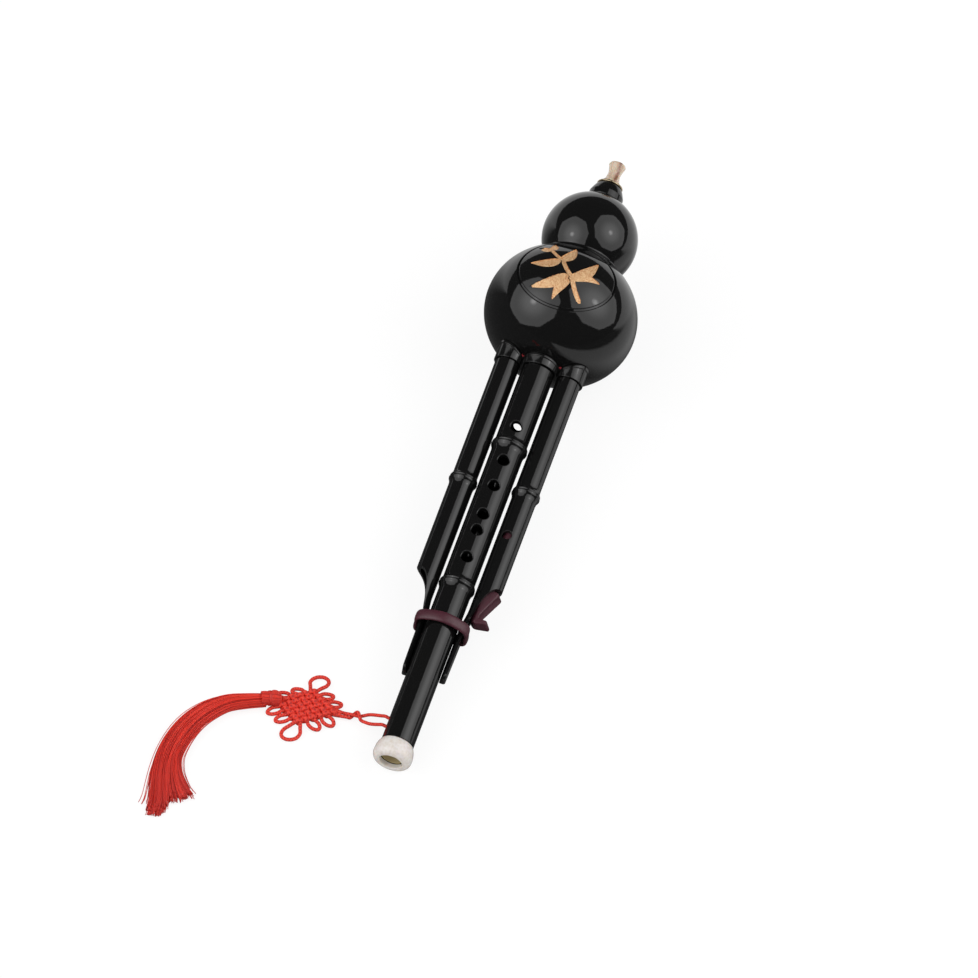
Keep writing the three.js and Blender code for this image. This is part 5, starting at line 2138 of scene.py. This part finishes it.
SKIRT_ROUTE = (
    (18.0, 75.6, 7.7, 7.7), (13.4, 85.0, 9.0, 7.8), (8.2, 93.8, 11.2, 7.2),
    (0.2, 101.5, 13.4, 6.5),
    (-9.8, 107.6, 14.6, 6.0), (-21.0, 111.4, 15.0, 5.6), (-33.0, 112.9, 15.2, 5.2),
    (-45.0, 112.0, 15.8, 4.8), (-56.0, 109.2, 17.6, 4.3), (-66.0, 105.6, 20.4, 3.7),
    (-74.5, 103.4, 22.4, 3.0))


class Tassel:
    """The tassel: a head bound with thread, and a skirt of loose threads."""

    def __init__(self, wardrobe: Wardrobe, size: TasselSizes) -> None:
        """Builds the tassel.

        Args:
            wardrobe: The materials.
            size: Its sizes.
        """
        self.size = size
        self.dice = np.random.default_rng(size.seed)
        head = several_tubes("tassel_head_threads", self.head_tubes())
        self.tone(head, 0.1, 0.7)
        wardrobe.dress(head, Slot.THREAD, "melody", ["tassel_head"])
        skirt = self.skirt()
        wardrobe.dress(skirt, Slot.THREAD, "melody", ["tassel_skirt"])

    def in_head(self, along: np.ndarray, radius: np.ndarray, turn: np.ndarray) -> np.ndarray:
        """Places points round the head's axis.

        Args:
            along: Places along the head.
            radius: Distances from its axis.
            turn: Turns round it in radians.

        Returns:
            Rows of x, y and z in metres.
        """
        size = self.size
        way = math.radians(size.head_turn)
        ahead = np.array([math.cos(way), math.sin(way), 0.0])
        side = np.array([-ahead[1], ahead[0], 0.0])
        start = np.array([*size.head_start, size.head_radius + 0.15])
        return LIE.floor(start + np.outer(along, ahead) + np.outer(radius * np.cos(turn), side)
                         + np.outer(radius * np.sin(turn), [0.0, 0.0, 1.0]))

    def head_tubes(self) -> list[tuple[np.ndarray, bool]]:
        """Lays the threads that fold over the head, and the binding round them."""
        size = self.size
        shape = smooth([(0.0, 0.3), (0.05, 0.5), (0.14, 0.78), (0.3, 0.93), (0.4, 0.95),
                        (0.52, 0.84), (0.66, 0.8), (0.85, 0.82), (1.02, 0.8)])
        tubes = []
        count = 64
        for i in range(count):
            share = np.linspace(0.0, 1.03, 22)
            turn = 2 * math.pi * i / count + 0.25 * share + self.dice.normal(0, 0.012)
            radius = shape(share) * size.head_radius - 0.22
            line = self.in_head(share * size.head_length, radius, turn)
            tubes.append((tube(line, 0.26 * MM, 6), False))
        turns = np.linspace(0, 2 * math.pi * 4, 4 * 40)
        share = np.linspace(0.53, 0.66, len(turns))
        line = self.in_head(share * size.head_length,
                            np.full(len(turns), size.head_radius * 0.8 + 0.15),
                            turns)
        tubes.append((tube(line, 0.27 * MM, 8), False))
        core = self.in_head(np.linspace(0.4, 11.0, 12), np.zeros(12), np.zeros(12))
        tubes.append((tube(core, 3.1 * MM, 20), False))
        return tubes

    def tone(self, obj: bpy.types.Object, low: float, high: float) -> None:
        """Gives each thread of a piece its own tone.

        Args:
            obj: The piece.
            low: The darkest tone.
            high: The brightest tone.
        """
        mesh = obj.data
        count = len(mesh.vertices)
        around = np.empty(count, np.float32)
        mesh.attributes["along"].data.foreach_get("value", around)
        starts = np.concatenate([[True], np.diff(around) < -1e-6])
        number = np.cumsum(starts) - 1
        tones = self.dice.uniform(low, high, number[-1] + 1)
        layer = mesh.attributes.new("tone", "FLOAT", "POINT")
        layer.data.foreach_set("value", tones[number].astype(np.float32))

    def sway(self, share: np.ndarray) -> np.ndarray:
        """Gives how a thread or a bunch of them wanders along its way.

        Args:
            share: Places along the skirt from 0 to 1.

        Returns:
            Rows of a place across and a height.
        """
        bends = self.dice.normal(0, 1, (4, 2))
        return sum(np.outer(np.sin(share * math.pi * (k + 1.4) + bends[k, 0]),
                            bends[k] / (k + 1.5))
                   for k in range(4))

    def skirt(self) -> bpy.types.Object:
        """Lays the loose threads along their route."""
        size = self.size
        route = spline(np.array(SKIRT_ROUTE, float), size.rings - 1)
        share = np.linspace(0, 1, size.rings)
        ahead = np.gradient(route[:, :2], axis=0)
        ahead /= np.linalg.norm(ahead, axis=1)[:, None]
        way = math.radians(size.head_turn)
        ahead[0] = (math.cos(way), math.sin(way))
        side = np.stack([-ahead[:, 1], ahead[:, 0]], axis=1)
        radius = size.thread / 2
        tubes, tones = [], []
        centres = [(math.sqrt((k + 0.5) / size.clumps) * 0.86, k * GOLDEN_ANGLE)
                   for k in range(size.clumps)]
        bunches = [(r * math.cos(t), r * math.sin(t), self.sway(share),
                    self.dice.uniform(0.25, 0.95), self.dice.normal(0, 1)) for r, t in centres]
        for i in range(size.threads + size.strays):
            stray = i >= size.threads
            mid_a, mid_b, drift, shade, end = bunches[i % size.clumps]
            away = self.dice.normal(0, 0.11, 2)
            a, b = mid_a + away[0], mid_b + away[1]
            if stray:
                turn = self.dice.uniform(0, 2 * math.pi)
                a, b = math.cos(turn), math.sin(turn)
            # The threads of a bunch leave it little by little towards the end
            loose = (0.25 + 1.1 * share)[:, None] * (drift * 0.5 + self.sway(share) * 0.5)
            out = np.clip((share - (0.62 if a > 0.05 else 0.82)) / 0.3, 0, 1) ** 1.5
            grow = out * (10.0 if a > 0.05 else -3.5) * min(abs(a - 0.05) * 1.7, 1)
            if stray:
                lift = self.dice.uniform(0.45, 0.9)
                reach = (np.clip((share - lift) / (1 - lift), 0, 1) ** 1.5
                         * self.dice.uniform(1.0, 4.5))
                grow = grow + reach * (1 if a > 0 else -1)
            half_w, half_h = route[:, 2] / 2 - radius, route[:, 3] / 2 - radius
            across = np.clip(a * half_w + loose[:, 0], -half_w - 0.8, half_w + 0.8) + grow
            up = b * half_h + loose[:, 1] * 0.35
            height = np.maximum(half_h * 0.85 + up, 0.0) + radius + 0.05
            line = np.column_stack([route[:, 0] + side[:, 0] * across,
                                    route[:, 1] + side[:, 1] * across, height])
            # The end parts into a longer lobe and a shorter one, with a notch between them
            lobe = float(np.interp(a, *zip(*SKIRT_LOBES)))
            cut = size.rings - int(lobe + abs(end) * 0.9 + abs(self.dice.normal(0, 1)) * 1.1)
            line = line[:max(cut, 30)]
            tubes.append((tube(LIE.floor(line), radius * MM, 5), False))
            # Each thread is made darker towards its end, and threads at the edge of a bunch are
            # painted darker still: painted shade in the gaps between bunches
            darker_to_end = 1.2 - 0.75 * share[:len(line)] ** 0.9
            dark = 1.0 - 0.35 * min(np.linalg.norm(away) / 0.22, 1.0) ** 2
            tone = (shade * 0.3 + self.dice.uniform(0.0, 1.15)) * dark * darker_to_end
            tones.append(np.repeat(np.clip(tone, 0, 1), 5))
        obj = several_tubes("tassel_skirt_threads", tubes)
        layer = obj.data.attributes.new("tone", "FLOAT", "POINT")
        layer.data.foreach_set("value", np.concatenate(tones).astype(np.float32))
        return obj


@dataclass(frozen=True)
class ViewSizes:
    """Where the camera stands, in metres, and the directions of its picture."""

    target: tuple[float, float, float] = (-0.0687, -0.0039, 0.1009)
    towards: tuple[float, float, float] = (-0.5796, -0.0770, 0.8113)
    right: tuple[float, float, float] = (0.2995, -0.9460, 0.1242)
    distance: float = 24.0
    width: float = 0.5261
    sensor: float = 36.0


@dataclass(frozen=True)
class Box:
    """A softbox: its direction seen from the instrument, its size and its brightness."""

    name: str
    azimuth: float
    height: float
    distance: float = 2.0
    half: float = 1.62
    edge: float = 1.25
    middle: float = 2.5
    tube: float = 3.5


class Studio:
    """The white floor, the two softboxes and the camera."""

    def __init__(self, size: ViewSizes) -> None:
        """Sets up the studio.

        Args:
            size: The camera's place.
        """
        self.size = size
        self.back = Vector(size.towards).normalized()
        right = Vector(size.right)
        self.right = (right - right.dot(self.back) * self.back).normalized()
        self.up = self.back.cross(self.right)
        self.camera()

    def camera(self) -> None:
        """Makes the camera."""
        data = bpy.data.cameras.new("camera")
        data.sensor_width = self.size.sensor
        data.lens = self.size.sensor * self.size.distance / self.size.width
        data.clip_end = 100.0
        data.clip_start = 0.5
        camera = bpy.data.objects.new("camera", data)
        bpy.context.scene.collection.objects.link(camera)
        turn = Matrix((self.right, self.up, self.back)).transposed()
        camera.matrix_world = turn.to_4x4()
        camera.location = Vector(self.size.target) + self.back * self.size.distance
        bpy.context.scene.camera = camera

    def light(self) -> None:
        """Makes the floor, the softboxes and the dim room."""
        scene = bpy.context.scene
        scene.view_settings.view_transform = "Standard"
        self.room(0.26, 0.07, 1.0)
        self.floor()
        self.softbox(Box("softbox_left", -46.0, 1.0))
        self.softbox(Box("softbox_right", 48.0, 34.0))

    def room(self, lit: float, mirrored: float, shown: float) -> None:
        """Makes the dim surroundings, which the camera sees as a pale backdrop.

        Args:
            lit: The brightness that falls on the object.
            mirrored: The brightness of the room's dark side that a mirror on the object shows.
            shown: The brightness that the camera sees.
        """
        world = bpy.data.worlds.new("room")
        bpy.context.scene.world = world
        world.use_nodes = True
        tree = world.node_tree
        tree.nodes.clear()
        path = add_node(tree, "ShaderNodeLightPath")
        dim = add_node(tree, "ShaderNodeMapRange", {"Value": path.outputs["Is Glossy Ray"]},
                       To_Min=lit, To_Max=mirrored)
        level = add_node(tree, "ShaderNodeMapRange", {
            "Value": path.outputs["Is Camera Ray"], "To Min": dim.outputs["Result"]}, To_Max=shown)
        glow = add_node(tree, "ShaderNodeBackground", {"Strength": level.outputs["Result"]})
        out = add_node(tree, "ShaderNodeOutputWorld", {"Surface": glow.outputs[0]})
        out.is_active_output = True

    def floor(self) -> None:
        """Makes the white floor, which glows for the camera and in mirrors but keeps shadows."""
        reach = 6.0
        points = np.array([[-reach, -reach, 0], [reach, -reach, 0], [reach, reach, 0],
                           [-reach, reach, 0]])
        floor = piece("floor", points + np.array([0, 0, -0.0001]), [(0, 1, 2, 3)],
                      smooth_shade=False)
        finish = Finish("floor_paper")
        tree = finish.tree
        paper = add_node(tree, "ShaderNodeTexNoise", {"Vector": finish.coords.outputs["Object"]},
                         Scale=60.0)
        tint = blended(tree, paper.outputs["Fac"], "#f4f4f4", "#ffffff")
        plain = add_node(tree, "ShaderNodeBsdfDiffuse", {"Color": tint})
        shade = add_node(tree, "ShaderNodeBsdfDiffuse")
        shade.inputs["Color"].default_value = (0.17, 0.17, 0.17, 1.0)
        glow = add_node(tree, "ShaderNodeEmission", Strength=0.86)
        seen = add_node(tree, "ShaderNodeAddShader")
        tree.links.new(shade.outputs[0], seen.inputs[0])
        tree.links.new(glow.outputs[0], seen.inputs[1])
        path = add_node(tree, "ShaderNodeLightPath")
        # In reflections the floor shows a painted reflection, a glow in patches, instead of its lit
        # colour
        mirrored = add_node(tree, "ShaderNodeEmission", {"Strength": self.painted_reflection_glow(finish)})
        lit = add_node(tree, "ShaderNodeMixShader", {0: path.outputs["Is Glossy Ray"],
                                                     1: plain.outputs[0], 2: mirrored.outputs[0]})
        mix = add_node(tree, "ShaderNodeMixShader", {0: path.outputs["Is Camera Ray"],
                                                     1: lit.outputs[0], 2: seen.outputs[0]})
        tree.nodes.remove(finish.shader)
        tree.links.new(mix.outputs[0], finish.out.inputs["Surface"])
        floor.data.materials.append(finish.material)

    def painted_reflection_glow(self, finish: Finish) -> bpy.types.NodeSocket:
        """Gives the glow that the floor shows only in reflections, a painted reflection: dim all
        round, bright on the right of the pipes and beyond the mouthpiece.

        Args:
            finish: The floor's material.

        Returns:
            The brightness's socket.
        """
        tree = finish.tree
        place = add_node(tree, "ShaderNodeSeparateXYZ", {0: finish.coords.outputs["Object"]})

        def edge(axis: int, start: float, end: float, low: float,
                 high: float) -> bpy.types.NodeSocket:
            """Gives a soft step of brightness across the floor, from low to high."""
            return add_node(tree, "ShaderNodeMapRange", {"Value": place.outputs[axis]},
                            interpolation_type="SMOOTHSTEP", From_Min=start, From_Max=end,
                            To_Min=low, To_Max=high).outputs["Result"]

        near = add_node(tree, "ShaderNodeMath", {0: edge(1, -0.32, -0.2, 0.0, 1.0),
                                                 1: edge(1, -0.09, -0.04, 0.68, 0.08)},
                        operation="MULTIPLY")
        both = add_node(tree, "ShaderNodeMath", {0: near.outputs[0],
                                                 1: edge(0, 0.12, 0.22, 0.08, 0.9)},
                        operation="MAXIMUM")
        return both.outputs[0]

    def softbox(self, box: Box) -> None:
        """Hangs an eight-sided softbox that faces the instrument, out of the camera's sight.

        Args:
            box: The softbox.
        """
        upright = Vector(LIE.along)
        upright = (upright - upright.dot(self.back) * self.back).normalized()
        across = upright.cross(self.back)
        a, e = math.radians(box.azimuth), math.radians(box.height)
        way = ((across * math.sin(a) + self.back * math.cos(a)) * math.cos(e)
               + upright * math.sin(e))
        side = upright.cross(way).normalized()
        rise = way.cross(side)
        centre = Vector((0.0, 0.0, 0.02)) + way * box.distance
        turns = [math.radians(22.5 + 45 * i) for i in range(8)]
        corners = [tuple(centre + (side * math.cos(t) + rise * math.sin(t)) * box.half * 1.05)
                   for t in turns]
        panel = piece(box.name, np.array(corners), [tuple(range(8))], smooth_shade=False)
        panel.visible_camera = False
        panel.visible_shadow = False
        finish = Finish(box.name)
        tree = finish.tree
        away = add_node(tree, "ShaderNodeVectorMath", {0: finish.coords.outputs["Object"]},
                        operation="DISTANCE")
        away.inputs[1].default_value = tuple(centre)
        # The cloth is brightest in the middle, where the flash tube shows through it
        levels = [add_node(tree, "ShaderNodeMapRange", {"Value": away.outputs["Value"]},
                           interpolation_type="SMOOTHERSTEP", From_Min=0.0,
                           From_Max=reach * box.half,
                           To_Min=peak, To_Max=rest).outputs["Result"]
                  for reach, peak, rest in ((0.8, box.middle, box.edge), (0.17, box.tube, 0.0))]
        total = add_node(tree, "ShaderNodeMath", {0: levels[0], 1: levels[1]}, operation="ADD")
        glow = add_node(tree, "ShaderNodeEmission", {"Strength": total.outputs[0]})
        tree.nodes.remove(finish.shader)
        tree.links.new(glow.outputs[0], finish.out.inputs["Surface"])
        panel.data.materials.append(finish.material)


LININGS = {
    "mouthpiece_cork": Slot.CORK, "seat_gasket": Slot.THREAD, "melody_lapping": Slot.THREAD,
    "left_drone_lapping": Slot.THREAD, "right_drone_lapping": Slot.THREAD,
    "melody_reed": Slot.BRASS, "left_drone_reed": Slot.BRASS, "right_drone_reed": Slot.BRASS,
    "cord_bight": Slot.CORD,
}


def main() -> None:
    """Builds the studio and every piece."""
    logging.basicConfig(level=logging.INFO, format="%(name)s: %(message)s")
    studio = Studio(ViewSizes())
    wardrobe = Wardrobe()
    Cords(wardrobe, CordSizes())
    Tassel(wardrobe, TasselSizes())
    Pipes(wardrobe, MelodySizes(), (
        DroneSizes(Side.LEFT, 118.9, 54.5, 178.0),
        DroneSizes(Side.RIGHT, 119.8, 56.6, 181.5, 151.5)))
    sizes = GourdSizes()
    form = GourdForm(sizes)
    Gourd(wardrobe, sizes, form)
    Seat(wardrobe, SeatSizes(), form)
    Tip(wardrobe, TipSizes())
    foot_cap(wardrobe, CapSizes())
    drone_plug(wardrobe, PlugSizes())
    rubber_band(wardrobe, BandSizes())
    for node, slot in LININGS.items():
        wardrobe.line(node, slot)
    studio.light()


if __name__ == "__main__":
    main()
